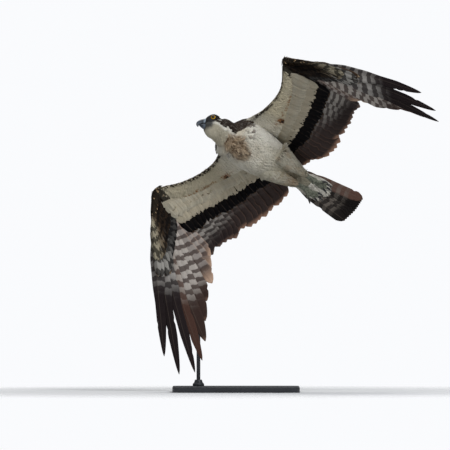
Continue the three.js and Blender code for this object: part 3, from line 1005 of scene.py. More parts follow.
@dataclass
class WingPlan:
    """One wing's edge, bones and tips, as in the CAD model."""

    name: str
    side: int
    edge: list[Array]
    wrist: Array
    manus: Array
    inner_root: Array
    outer_root: Array
    secondary_tips: list[Array]
    primary_tips: list[Array]
    secondaries: int = 17
    primaries: int = 10
    places: list[Place] = field(default_factory=list)

    def __post_init__(self) -> None:
        """Lays every flight feather, from the innermost secondary to the outermost primary."""
        for i in range(self.secondaries):
            t = i / (self.secondaries - 1)
            root = mix(self.inner_root, self.outer_root, t)
            self.places.append(Place(root, spline(self.secondary_tips, t), t))
        inside = mix(self.outer_root, self.wrist, 0.25)
        for i in range(self.primaries):
            t = i / (self.primaries - 1)
            self.places.append(Place(mix(inside, self.manus, 0.1 + 0.82 * t), self.primary_tips[i], t))
        for i, p in enumerate(self.places):
            before = self.places[max(0, i - 1)]
            after = self.places[min(len(self.places) - 1, i + 1)]
            p.run = unit(p.tip - p.root)
            p.length = np.linalg.norm(p.tip - p.root)
            step = mix(after.root, after.tip, 0.4) - mix(before.root, before.tip, 0.4)
            p.normal = unit(np.cross(p.run, step))
            if p.normal[1] < 0:
                p.normal = -p.normal
            p.lead = square_to(step, p.run)

    def arm(self) -> list[Place]:
        """The secondaries."""
        return self.places[: self.secondaries]

    def hand(self) -> list[Place]:
        """The primaries."""
        return self.places[self.secondaries :]

    @staticmethod
    def between(row: list[Place], t: float) -> Place:
        """A feather place part of the way along a row."""
        at = t * (len(row) - 1)
        i = min(int(at), len(row) - 2)
        a, b, w = row[i], row[i + 1], at - i
        ways = {k: unit(mix(getattr(a, k), getattr(b, k), w)) for k in ("run", "lead", "normal")}
        return Place(
            mix(a.root, b.root, w), mix(a.tip, b.tip, w), t, length=mix(a.length, b.length, w), **ways
        )

    def arm_rings(self) -> Rings:
        """The flesh of the arm, from inside the body to the wrist."""
        rows = []
        for t in np.linspace(0, 1, 12):
            f = self.between(self.arm(), t)
            front = spline(self.edge, t)
            back = mix(self.inner_root, self.outer_root, t) + f.run * 30
            rows.append((mix(front, back, 0.5), (front - back) / 2, f.normal * mix(15, 8.5, t)))
        at, a, b = rows[0]
        rows.insert(0, (at - LEFT * self.side * 42, a * 0.8, b * 0.8))
        return Rings.of(rows)

    def hand_rings(self) -> Rings:
        """The flesh of the hand, from inside the wrist outwards."""
        rows = []
        for t in np.linspace(0, 1, 6):
            f = self.between(self.hand(), t)
            at = mix(self.wrist, self.manus, t) - f.lead * mix(10, 5, t) + f.run * mix(0, 4, t)
            rows.append((at, f.lead * mix(21, 9, t), f.normal * mix(8.5, 4.2, t)))
        at, a, b = rows[0]
        rows.insert(0, (at - unit(self.manus - self.wrist) * 7 + a * 0.35, a * 0.45, b * 0.8))
        return Rings.of(rows)


def wing_plans() -> tuple[WingPlan, WingPlan]:
    """The right wing, which hangs below the body in view, and the left one above it."""
    right = WingPlan(
        "right",
        -1,
        [on_body(30, -46, 12), *spots((-62, -14, 594), (-126, 4, 553), (-213, 26, 531))],
        vec(-214, 28, 518),
        vec(-219, 34, 412),
        on_body(-62, -46, 22),
        vec(-196, 36, 494),
        spots((134, 62, 508), (59, 84, 445), (-11, 88, 401), (-61, 80, 356)),
        spots(
            *((-68, 76, 344), (-66, 72, 318), (-62, 68, 282), (-76, 64, 236), (-80, 61, 184)),
            *((-80, 58, 131), (-88, 56, 81), (-107, 54, 50), (-148, 52, 45), (-187, 50, 92)),
        ),
    )
    left = WingPlan(
        "left",
        1,
        [on_body(30, 46, 12), *spots((72, -110, 736), (112, -146, 786), (118, -178, 850))],
        vec(126, -186, 862),
        vec(226, -252, 850),
        on_body(-62, 46, 22),
        vec(142, -176, 832),
        spots((186, 18, 588), (250, -54, 632), (296, -122, 694), (317, -172, 742)),
        spots(
            *((324, -190, 757), (332, -220, 756), (352, -252, 750), (390, -290, 738), (424, -322, 733)),
            *((456, -362, 724), (486, -402, 710), (519, -440, 699), (511, -455, 727), (474, -448, 773)),
        ),
    )
    return right, left


# Flesh and the lie of its feathers


class Part(Enum):
    """Tracts of the flesh."""

    RUMP = 0
    TORSO = 1
    NECK = 2
    HEAD = 3
    THIGH_LEFT = 4
    THIGH_RIGHT = 5
    ARM_RIGHT = 6
    HAND_RIGHT = 7
    ARM_LEFT = 8
    HAND_LEFT = 9

    @property
    def kind(self) -> str:
        """The tract's name without its side."""
        return self.name.split("_")[0]


TORSO_RINGS = (
    (-222, 19, 13, 6),
    (-205, 26, 19, 3),
    (-175, 37, 30, -2),
    (-140, 47, 40, -5),
    (-95, 55, 50, -8),
    (-45, 61, 57, -11),
    (5, 59, 58, -11),
    (28, 51, 51, -9),
)
HIPS = {"left": on_body(-84, 36, -26), "right": on_body(-84, -18, -30)}
HEELS = {"left": on_body(-172, 37, -41), "right": on_body(-170, 3, -45)}
NECK_RINGS = ((0.45, 46.5, 46), (0.72, 40, 39))
NECK_SAG = vec(-6, -3, -19.5)
SKULL_RINGS = (
    (-12, 34, 36.5, -25),
    (-3, 31, 35.5, -17.5),
    (7, 27.3, 34, -12),
    (16, 23.6, 30, -12.3),
    (23, 18.5, 23, -12),
    (28, 12, 16.5, -11.5),
)


@dataclass
class Tract:
    """One closed form of flesh and what its surface says about the feathers on it.

    Attributes:
        part: the tract, or one for each ring.
        rings: its rings.
        flow: the lie of the feathers at each ring.
        sides: points on each ring.
        section: factor on the second half axis by angle.
    """

    part: list[Part]
    rings: Rings
    flow: Array
    sides: int = 40
    section: Callable[[Array], Array] | None = None


@dataclass
class Guide:
    """What the flesh says at any set of points."""

    part: Array
    flow: Array
    share: Array
    around: Array
    side: Array

    def chosen(self, mask: Array) -> Guide:
        """The rows where the mask holds."""
        return Guide(*(getattr(self, f.name)[mask] for f in fields(self)))


@dataclass
class Flesh:
    """Body, limbs and tail root as closed lofts, joined into one skin below the feathers."""

    wings: tuple[WingPlan, WingPlan]
    voxel: float = 2.3
    tracts: list[Tract] = field(default_factory=list)
    tree: KDTree | None = None
    known: Guide | None = None

    def __post_init__(self) -> None:
        """Makes every tract and the table that points are looked up in."""
        self.tracts = [self.trunk(), *self.thighs()]
        for wing, arm, hand in zip(
            self.wings, (Part.ARM_RIGHT, Part.ARM_LEFT), (Part.HAND_RIGHT, Part.HAND_LEFT)
        ):
            self.tracts.append(self.limb(wing.arm_rings(), wing.arm(), arm))
            self.tracts.append(self.limb(wing.hand_rings(), wing.hand(), hand))
        self.learn()

    @staticmethod
    def trunk() -> Tract:
        """The body from the tail's root to the bill."""
        rows = [(on_body(x, 0, z), LEFT * wide, UP * high) for x, wide, high, z in TORSO_RINGS]
        for t, wide, high in NECK_RINGS:
            turn = smooth(t, 0.3, 1)
            at = mix(on_body(20, 0, 2), on_head(-14, 0, -3), t) + NECK_SAG * sin(pi * t)
            rows.append((at, unit(mix(LEFT, HEAD_LEFT, turn)) * wide, unit(mix(UP, CROWN, turn)) * high))
        rows += [(on_head(x, 0, z), HEAD_LEFT * wide, CROWN * high) for x, wide, high, z in SKULL_RINGS]
        count = 110
        fine = Rings.of(rows).refined(count)
        row = np.linspace(0, len(rows) - 1, count)
        depth = np.interp(row, [0, 4, 8, 10, 11, 15], [1.5, 2.6, 2.4, 1.6, 0.9, 0.8])
        part = [Part(int(k)) for k in np.searchsorted([2.2, 7.4, 9.7], row, side="right")]
        flow = -unit(np.gradient(fine.at, axis=0))
        return Tract(part, fine.shrunk(depth), flow, 64)

    @staticmethod
    def thighs() -> list[Tract]:
        """The feathered thighs, folded back along the belly."""
        made = []
        for part, hip, heel in zip((Part.THIGH_LEFT, Part.THIGH_RIGHT), HIPS.values(), HEELS.values()):
            path = [mix(hip, heel, t) for t in (0, 0.2, 0.35, 0.55, 0.7, 0.86, 1.02)]
            rings = tube_rings(path, [28, 26.5, 24, 19.5, 15.5, 11.5, 8], LEFT)
            flow = np.broadcast_to(unit(heel - hip), rings.at.shape)
            made.append(Tract([part] * len(path), rings, flow))
        return made

    @staticmethod
    def limb(rings: Rings, row: list[Place], part: Part) -> Tract:
        """The flesh of an arm or hand.

        Args:
            rings: its rings, with one buried ring first.
            row: the flight feathers on it, which set the lie.
            part: its tract.

        Returns:
            The tract.
        """
        count = 44
        runs = np.array([WingPlan.between(row, t).run for t in np.linspace(0, 1, count)])
        return Tract([part] * count, rings.refined(count).shrunk(1.2), runs, 40, Flesh.drop)

    @staticmethod
    def drop(angle: Array) -> Array:
        """A section that is full in front and thin behind."""
        return mix(0.34, 1, np.maximum(0, (1 + np.cos(angle)) / 2) ** 0.75)

    def learn(self) -> None:
        """Lists every loft point with its tract, lie, place along it and side."""
        points, rows = [], []
        for tract in self.tracts:
            n, m = len(tract.rings.at), tract.sides
            angle = circle(m)
            points.append(loft(tract.rings, m, tract.section)[0][: n * m])
            part = np.repeat([p.value for p in tract.part], m)
            share = np.repeat(np.linspace(0, 1, n), m)
            around, side = np.tile(np.cos(angle), n), np.tile(np.sin(angle), n)
            rows.append((part, np.repeat(tract.flow, m, 0), share, around, side))
        self.known = Guide(*(np.concatenate(column) for column in zip(*rows)))
        self.tree = near_tree(np.concatenate(points))

    def guide(self, points: Array) -> Guide:
        """Looks points up on the nearest flesh.

        Args:
            points: places in mm.

        Returns:
            The tract, lie, share of the way along it, and where round it each point is.
        """
        near, weight = [], []
        for p in points:
            found = self.tree.find_n(Vector(p), 5)
            near.append([i for _, i, _ in found])
            weight.append([1 / (d + 0.8) ** 2 for _, _, d in found])
        near, weight = np.array(near), np.array(weight)
        weight /= weight.sum(1, keepdims=True)
        known = self.known
        part = known.part[near[:, 0]]
        same = (known.part[near] == part[:, None]) * weight
        same /= same.sum(1, keepdims=True)
        flow = unit(np.einsum("nk,nkc->nc", weight, known.flow[near]))
        return Guide(
            part, flow, *(np.sum(same * rows[near], 1) for rows in (known.share, known.around, known.side))
        )

    def skin(self) -> Object:
        """One closed skin through all the tracts, with soft creases and open eye sockets."""
        data = MeshData()
        for tract in self.tracts:
            data.add(*loft(tract.rings, tract.sides, tract.section))
        for side in (1, -1):
            brow = [
                on_head(x, side * y, z) for x, y, z in ((-3, 19.5, 11.0), (8, 19.6, 11.6), (18, 15.4, 8.4))
            ]
            data.add(*loft(tube_rings(brow, [1.6, 2.6, 1.4], CROWN).refined(12), 12))
        obj = melted(data.build("skin"), self.voxel, 5)
        self.open_eyes(obj.data)
        return obj

    @staticmethod
    def open_eyes(mesh: Mesh) -> None:
        """Sinks the skin over each eye so that the eyeball shows in a socket."""
        points = mesh_rows(mesh)
        for side in (1, -1):
            high, wide = by_eye(points, side)
            sunk = (1 - smooth(wide, EYE_OPEN - 0.4, EYE_OPEN + 1.6)) * (high > 0) * (high < SOCKET)
            points -= eye_axis(side)[1] * (sunk * np.maximum(high - 2.0, 0))[:, None]
        mesh.vertices.foreach_set("co", (points * MM).astype(np.float32).ravel())
        mesh.update()


def eye_axis(side: int) -> Pair:
    """The middle of an eyeball and the way that it looks; side is 1 on the left."""
    x, y, z = EYE_AT
    return on_head(x, y * side, z), unit(HEAD_LEFT * side + FACE * 0.34)


def by_eye(points: Array, side: int) -> Pair:
    """How far points lie in front of an eyeball's middle, and how far from its axis."""
    middle, out = eye_axis(side)
    off = points - middle
    high = off @ out
    return high, np.linalg.norm(off - high[:, None] * out, axis=1)


# Markings of the small feathers and the skin


class Paint:
    """Colours for rows of points, laid one over another."""

    def __init__(self, rows: Array) -> None:
        """Starts with a colour for each row."""
        self.rows = rows

    @classmethod
    def plain(cls, code: str, ground: Ground) -> Paint:
        """Starts with one colour for every point of the ground."""
        return cls(np.repeat(colour(code)[None], len(ground.points), 0))

    def lay(self, code: str, amount: Array) -> None:
        """Lays a colour over the rows by an amount for each."""
        self.rows = mix(self.rows, colour(code), np.clip(amount, 0, 1)[:, None])


@dataclass
class Ground:
    """Places to colour.

    Attributes:
        points: where they are, in mm.
        guide: what the flesh says there.
        luck: a random share for each.
        broad: noise in wide lumps.
        fine: noise in small lumps.
    """

    points: Array
    guide: Guide
    luck: Array
    broad: Array
    fine: Array

    def chance(self) -> tuple[Array, Array, Array]:
        """Luck, broad and fine noise."""
        return self.luck, self.broad, self.fine

    def wing(self, buried: float) -> tuple[Array, Array, Array]:
        """Shares of the way out and back over a wing's part, and how far points lie above."""
        out = np.clip((self.guide.share - buried) / (1 - buried), 0, 1)
        return out, (1 - self.guide.around) / 2, smooth(self.guide.side + self.fine * 0.1, 0.02, 0.2)


@dataclass
class Markings:
    """Colours of the plumage by place: the same for the skin and for the feathers on it."""

    seed: int = 5

    def paint(self, points: Array, guide: Guide) -> Pair:
        """Colours for points of the flesh.

        Args:
            points: places in mm.
            guide: what the flesh says there.

        Returns:
            The main colour and the edge colour of a feather rooted at each point, as rows of four.
        """
        luck = np.random.default_rng(self.seed).random(len(points))
        broad = mottle(points, 26, 3.1)
        fine = mottle(points, 7, 8.7)
        tint = np.ones((len(points), 4))
        fringe = np.ones((len(points), 4))
        brushes = {"THIGH": self.thigh, "ARM": self.arm, "HAND": self.hand}
        for value in np.unique(guide.part):
            mask = guide.part == value
            brush = brushes.get(Part(int(value)).kind, self.trunk)
            ground = Ground(points[mask], guide.chosen(mask), luck[mask], broad[mask], fine[mask])
            tint[mask, :3], fringe[mask, :3] = brush(ground)
        return tint, fringe

    def trunk(self, ground: Ground) -> Pair:
        """Head, neck and body: white below, brown above, with an eye stripe and a speckled breast band; the
        throat, the belly's rear and the front of the head carry painted shade.
        """
        luck, broad, fine = ground.chance()
        x, y, z = HEAD_AXES.place(ground.points)
        bx, by, bz = BODY_AXES.place(ground.points)
        share, side = ground.guide.share, ground.guide.side
        tint = Paint.plain(HUE.belly, ground)
        tint.lay(HUE.shade, smooth(broad, -0.3, 0.9) * 0.3)
        tint.lay(HUE.white, smooth(np.abs(by), 24, 50) * smooth(bz, -55, -25) * 0.8)
        # painted shade: the rear of the belly, on its lower side, is darkened to olive grey
        tint.lay(HUE.dusk, smooth(-bx, 20, 120) * smooth(-side, 0.1, 0.5) * 0.75)
        on_skull = smooth(x, -16, -6) * smooth(z, -24, -12)
        ragged = broad * 0.05 + fine * 0.05
        # painted shade darkens the throat below the head
        throat = smooth(share, 0.56, 0.66) * smooth(-side, 0.0, 0.3)
        tint.lay(HUE.shade, throat * 0.7)
        # brown back and the stripe through the eye, which widens down the side of the neck
        low = np.interp(
            share, [0.0, 0.3, 0.44, 0.465, 0.482, 0.503, 0.531, 0.56, 0.598, 0.64, 0.684, 0.743, 0.784, 0.83],
            [0.3, 0.24, 0.2, 0.02, -0.2, -0.32, -0.38, -0.45, -0.37, -0.13, 0.0, 0.07, 0.12, 0.1],
        )
        dark = smooth(side + ragged, low - 0.035, low + 0.035)
        streak = smooth(side + ragged, low - 0.3, low - 0.1) * smooth(share, 0.52, 0.64) * (1 - dark)
        tint.lay(HUE.white, streak * 0.85)
        crown = smooth(z, 13.5, 16.5) * smooth(x, -16, -8)
        tint.lay(HUE.bark, dark * (0.88 + 0.12 * (luck > 0.2)))
        tint.lay(HUE.belly, crown * (luck > 0.45) * 0.8)
        # the front of the head goes slate grey: partly the dark lores, partly painted shade on the forehead
        tint.lay(HUE.slate, smooth(x + 0.15 * z, 5, 16) * smooth(z, -31, -18) * 0.92)
        tint.lay(HUE.black, smooth(x, 16, 24) * smooth(z, -12, -4) * 0.5)
        # a pale fleck stands behind the eye
        fleck = blob((x + 1.5) / 3.0, (z + 2.5) / 1.5) * (np.abs(y) > 8)
        tint.lay(HUE.white, fleck * 1.2)
        ring = np.hypot(x - EYE_AT[0], z - EYE_AT[2])
        tint.lay(HUE.black, (1 - smooth(ring, 7.8, 10.0)) * (np.abs(y) > 8) * 0.9)
        # breast band: brown with darker specks, soft at its edge
        band = 1 - smooth(np.hypot((bx - 30) / 42, (by + 5) / 30) + 0.16 * broad, 0.6, 1.1)
        band = band * smooth(-side, 0.3, 0.6)
        tint.lay(HUE.stain, band * 0.75)
        tint.lay(HUE.brown, band * (0.35 + 0.55 * smooth(fine, -0.25, 0.45)) * (luck < 0.8))
        wash = blob((bx - 20) / 50, (by - 4) / 42) * smooth(-side, 0.2, 0.6)
        tint.lay(HUE.stain, wash * smooth(broad, -0.4, 0.8) * 0.3)
        speckle = blob((bx - 26) / 9, (np.abs(by) - 45) / 15) * (fine > 0.0) * (bz < 4)
        tint.lay(HUE.brown, speckle * 0.85)
        stain = blob((bx + 148) / 22, (by + 2) / 24) * smooth(-side, 0.2, 0.7)
        tint.lay(HUE.stain, stain * (0.7 + 0.3 * broad))
        fringe = Paint(tint.rows * 1.06)
        fringe.lay(HUE.edge, dark * 0.3 * (1 - on_skull) * smooth(-share, -0.5, -0.42))
        fringe.lay(HUE.shade, band * 0.3)
        return tint.rows, np.clip(fringe.rows, 0, 0.9)

    def thigh(self, ground: Ground) -> Pair:
        """White thigh feathers darkened with painted shade, more towards the heel, with a warm stain at the
        vent.
        """
        _, broad, fine = ground.chance()
        tint = Paint.plain(HUE.belly, ground)
        # painted shade over the thighs, deeper towards the heel
        tint.lay(HUE.trousers, 0.5 + 0.25 * smooth(ground.guide.share, 0.3, 0.9))
        tint.lay(HUE.stain, smooth(broad + fine * 0.4, 0.0, 1.0) * 0.35)
        bx, by, _ = BODY_AXES.place(ground.points)
        vent = blob((bx + 152) / 20, (by - 2) / 14)
        tint.lay(HUE.rust, vent * (0.45 + 0.2 * fine))
        return tint.rows, np.clip(tint.rows * 1.06, 0, 0.9)

    def arm(self, ground: Ground) -> Pair:
        """Cream lining with rusty streaks below, brown with pale edges above, speckled in front."""
        luck, broad, fine = ground.chance()
        t, chord, above = ground.wing(0.08)
        tint = Paint.plain(HUE.cream, ground)
        tint.lay(HUE.shade, smooth(broad, -0.5, 0.6) * 0.5)
        tint.lay(HUE.white, (1 - smooth(t, 0.1, 0.4)) * 0.5)
        line = np.exp(-(((chord - 0.6 - 0.05 * broad) / 0.07) ** 2)) * smooth(t, 0.12, 0.3)
        tint.lay(HUE.rust, line * smooth(fine, -0.6, 0.4) * 0.85)
        spot = blob((t - 0.3) / 0.035, (chord - 0.74) / 0.16)
        tint.lay(HUE.rust, np.clip(spot * 1.4, 0, 1))
        tint.lay(HUE.bark, np.clip(spot - 0.4, 0, 1) * 2)
        front = (1 - smooth(chord, 0.02, 0.07)) * smooth(t, 0.05, 0.2)
        tint.lay(HUE.bark, front * (luck < 0.72))
        wrist = smooth(t + 0.04 * chord, 0.9, 0.96) * (luck < 0.5 + 0.5 * smooth(t, 0.92, 0.97))
        tint.lay(HUE.black, wrist * 0.92)
        tint.lay(HUE.edge, wrist * (fine > 0.55) * 0.5)
        tint.lay(HUE.brown, above)
        tint.lay(HUE.bark, above * smooth(broad, -0.2, 0.8) * 0.7)
        fringe = Paint(np.clip(tint.rows * 1.06, 0, 0.9))
        fringe.lay(HUE.edge, above * 0.6)
        return tint.rows, fringe.rows

    def hand(self, ground: Ground) -> Pair:
        """The dark patch at the wrist, breaking up into spots on cream further out."""
        luck, _, fine = ground.chance()
        t, chord, above = ground.wing(0.12)
        tint = Paint.plain(HUE.buff, ground)
        tint.lay(HUE.grey, smooth(t, 0.75, 0.95))
        share = mix(0.99, 0.7, smooth(t, 0.55, 0.95))
        tint.lay(HUE.black, (luck + 0.3 * fine < share) * 0.95)
        front = (1 - smooth(chord, 0.04, 0.12)) * (luck < 0.85)
        tint.lay(HUE.black, front * 0.9)
        tint.lay(HUE.brown, above)
        fringe = Paint(tint.rows)
        fringe.lay(HUE.edge, 0.04 + 0.2 * smooth(t, 0.3, 0.8) + 0.3 * above)
        return tint.rows, fringe.rows


# Small feathers


@dataclass(frozen=True)
class Plume:
    """Length, width and spacing in mm of a tract's small feathers, and how far they stand off in degrees."""

    length: float
    width: float
    spacing: float
    lift: float = 7


PLUMES = {
    "RUMP": Plume(17, 6.6, 2.9, 3),
    "TORSO": Plume(14, 6.4, 2.7, 3),
    "NECK": Plume(11, 4.6, 2.2, 5),
    "HEAD": Plume(7.5, 3.3, 1.75, 6),
    "THIGH": Plume(14, 5.2, 2.4, 4),
    "ARM": Plume(13, 5.6, 2.7, 3),
    "HAND": Plume(11, 5, 2.5, 4),
}


COATS = {
    "head": "HEAD",
    "neck": "NECK",
    "body": "TORSO RUMP",
    "thighs": "THIGH_LEFT THIGH_RIGHT",
    "wing_right": "ARM_RIGHT HAND_RIGHT",
    "wing_left": "ARM_LEFT HAND_LEFT",
}


@dataclass
class Coat:
    """Small feathers over the skin, laid by Geometry Nodes.

    Attributes:
        flesh: what they grow on.
        markings: their colours.
        patch: width of one feather on the UV map.
        thick: a feather's depth as a share of its width.
        crowd: roots tried for each one that stays, roughly.
        seed: start of the random draws.
    """

    flesh: Flesh
    markings: Markings
    patch: float = 0.003
    thick: float = 0.7
    crowd: float = 4.2
    seed: int = 11

    def template(self) -> Object:
        """One small feather of unit size: a thin closed leaf, arched along and across."""
        s = np.array([0.0, 0.3, 0.62, 0.86])
        wide = np.array([0.22, 0.8, 1.0, 0.66])
        data = MeshData()
        rows = []
        for at, w in zip(s, wide):
            arch = 0.16 * sin(pi * at * 0.8)
            rows += [
                (at, -0.5 * w, arch - 0.05), (at, 0, arch + 0.05), (at, 0.5 * w, arch - 0.05),
                (at, 0, arch - 0.07),
            ]
        rows.append((1.0, 0, 0.045))
        faces = [*quads(4, 4), *((12 + k, 12 + (k + 1) % 4, 16) for k in range(4)), (3, 2, 1, 0)]
        points = np.array(rows) / MM
        uv = np.stack([0.5 + points[:, 1] * MM, points[:, 0] * MM], 1)
        data.add(points, flipped(faces), vane=uv)
        return data.build("plume", uv="vane")

    def tree(self, material: Material) -> NodeTree:
        """The node tree that stands one feather on each point.

        Args:
            material: the feathers' material.

        Returns:
            A tree with inputs for the points, the feather, its size and its UV patch.
        """
        inputs = (
            ("Roots", "Geometry", None), ("Plume", "Object", None), ("Size", "Float", 1.0),
            ("UV Patch", "Float", self.patch),
        )
        tree, given = open_group("lay_plumes", inputs, "Coat")

        def named(name: str) -> NodeSocket:
            """A vector that the points carry."""
            node = add_node(
                tree, "GeometryNodeInputNamedAttribute", {"data_type": "FLOAT_VECTOR"}, {"Name": name}
            )
            return node.outputs["Attribute"]

        def maths(operation: str, inputs: dict) -> NodeSocket:
            """One Vector Math node."""
            return add_node(tree, "ShaderNodeVectorMath", {"operation": operation}, inputs).outputs[0]

        turn = add_node(
            tree, "FunctionNodeAxesToRotation", {"primary_axis": "X", "secondary_axis": "Z"},
            {"Primary Axis": named("aim"), "Secondary Axis": named("out")},
        )
        plume = add_node(tree, "GeometryNodeObjectInfo", {}, {"Object": given["Plume"]})
        size = maths("SCALE", {0: named("size"), "Scale": given["Size"]})
        shape = {"Instance": plume.outputs["Geometry"], "Rotation": turn.outputs[0], "Scale": size}
        real = stood(tree, {"Points": given["Roots"], **shape})
        off = maths("SUBTRACT", {0: named("vane"), 1: (0.5, 0.5, 0.0)})
        near = maths("SCALE", {0: off, "Scale": given["UV Patch"]})
        stored = add_node(
            tree, "GeometryNodeStoreNamedAttribute", {"data_type": "FLOAT2", "domain": "CORNER"},
            {
                "Geometry": real.outputs[0], "Name": "OFBake",
                "Value": maths("ADD", {0: named("root_uv"), 1: near}),
            },
        )
        close_group(tree, stored, material)
        return tree

    def roots(self, skin: Mesh) -> tuple[Array, Array, Guide]:
        """Spreads roots evenly over the skin, closer together where the feathers are small.

        Args:
            skin: the skin's mesh.

        Returns:
            Places in mm, normals and what the flesh says there.
        """
        rng = np.random.default_rng(self.seed)
        points, normals = mesh_rows(skin), mesh_rows(skin, normals=True)
        skin.calc_loop_triangles()
        corners = np.zeros(len(skin.loop_triangles) * 3, np.int32)
        skin.loop_triangles.foreach_get("vertices", corners)
        corners = corners.reshape(-1, 3)
        a, b, c = (points[corners[:, k]] for k in range(3))
        area = np.linalg.norm(np.cross(b - a, c - a), axis=1) / 2
        middle = (a + b + c) / 3
        spacing = self.sizes(middle, self.flesh.guide(middle))[:, 2]
        count = rng.poisson(area / spacing**2 * self.crowd)
        pick = np.repeat(np.arange(len(area)), count)
        r1, r2 = np.sqrt(rng.random(len(pick))), rng.random(len(pick))
        w = np.stack([1 - r1, r1 * (1 - r2), r1 * r2], 1)
        tri = corners[pick]
        at = np.einsum("nk,nkc->nc", w, points[tri])
        out = unit(np.einsum("nk,nkc->nc", w, normals[tri]))
        room = spacing[pick]
        order = rng.permutation(len(at))
        at, out, room = at[order], out[order], room[order]
        tree = near_tree(at)
        alive = np.ones(len(at), bool)
        for i, p in enumerate(at):
            if alive[i]:
                for _, j, _ in tree.find_range(Vector(p), room[i]):
                    if j > i:
                        alive[j] = False
        at, out = at[alive], out[alive]
        return at, out, self.flesh.guide(at)

    def sizes(self, points: Array, guide: Guide) -> Array:
        """Length, width, spacing and lift for each place, graded over head, wings and back."""
        out = np.array([astuple(PLUMES[p.kind]) for p in Part], float)[guide.part]

        def grade(rows: Array, share: Array, start: tuple, end: tuple) -> None:
            """Multiplies length, width and spacing of some rows by factors between start and end."""
            out[rows, :3] *= mix(np.array(start), np.array(end), share[rows, None])

        x, _, _ = HEAD_AXES.place(points)
        grade(guide.part == Part.HEAD.value, smooth(x, -8, 16), (1.2, 1.15, 1.1), (0.5, 0.6, 0.72))
        front = 1 - smooth((1 - guide.around) / 2, 0.03, 0.25)
        grade(guide.part >= Part.ARM_RIGHT.value, front, (1, 1, 1), (0.5, 0.6, 0.7))
        grade(guide.part == Part.TORSO.value, smooth(guide.side, 0.1, 0.5), (1, 1, 1), (1.3, 1.35, 1.15))
        return out

    def lay(self, skin: Object, material: Material) -> list[Object]:
        """Covers the skin.

        Args:
            skin: the skin.
            material: the feathers' material.

        Returns:
            One coat piece for each group of tracts.
        """
        at, out, guide = self.roots(skin.data)
        keep = (guide.part != Part.HEAD.value) | (HEAD_AXES.place(at)[0] <= 25.5)
        for side in (1, -1):
            high, wide = by_eye(at, side)
            keep &= (wide >= EYE_OPEN + 1.0) | (high <= 0) | (high >= SOCKET)
        at, out, guide = at[keep], out[keep], guide.chosen(keep)
        rng = np.random.default_rng(self.seed + 1)
        tint, fringe = self.markings.paint(at, guide)
        tone = rng.normal(1, 0.035, (len(at), 1))
        tint[:, :3] *= tone
        size = self.sizes(at, guide)
        size[:, :2] *= rng.normal(1, 0.1, (len(at), 1))
        flow = guide.flow + rng.normal(0, 0.07, (len(at), 3))
        wing = guide.part >= Part.ARM_RIGHT.value
        flow = np.where(wing[:, None] & (dot(unit(flow), out) > 0.5), flow - FORWARD * 0.8, flow)
        aim = square_to(flow, out)
        lift = np.radians(size[:, 3:] + rng.normal(0, 1.2, (len(at), 1)))
        tilted = aim * np.cos(lift) + out * np.sin(lift)
        up = out * np.cos(lift) - aim * np.sin(lift)
        tree = self.tree(material)
        plume = self.template()
        made = []
        for name, parts in COATS.items():
            mask = np.isin(guide.part, [Part[p].value for p in parts.split()])
            data = MeshData()
            thick = size[mask, 1:2] * self.thick
            data.add(
                at[mask] - out[mask] * 0.5, [], aim=tilted[mask], out=up[mask],
                size=np.hstack([size[mask, :2], thick]) * MM, tint=tint[mask], fringe=fringe[mask],
                root_uv=self.unwrap(guide.chosen(mask)),
            )
            holder = data.build(name + "_roots")
            rig = holder.modifiers.new("Plumes", "NODES")
            rig.node_group = tree
            for item in tree.interface.items_tree:
                if item.in_out == "INPUT" and item.name == "Plume":
                    rig[item.identifier] = plume
            made.append(applied(holder, f"coat_{name}"))
            dress(made[-1].data)
        bpy.data.objects.remove(plume)
        return made

    @staticmethod
    def unwrap(guide: Guide) -> Array:
        """Where each root lies on the skin laid flat: along its tract, and round it."""
        parts, column = np.unique(guide.part, return_inverse=True)
        width = 1 / len(parts)
        turn = np.arctan2(guide.side, guide.around) / (2 * pi) + 0.5
        return np.stack([width * (column + 0.02 + 0.96 * turn), 0.01 + 0.98 * guide.share, 0 * turn], 1)


# Wing and tail feathers


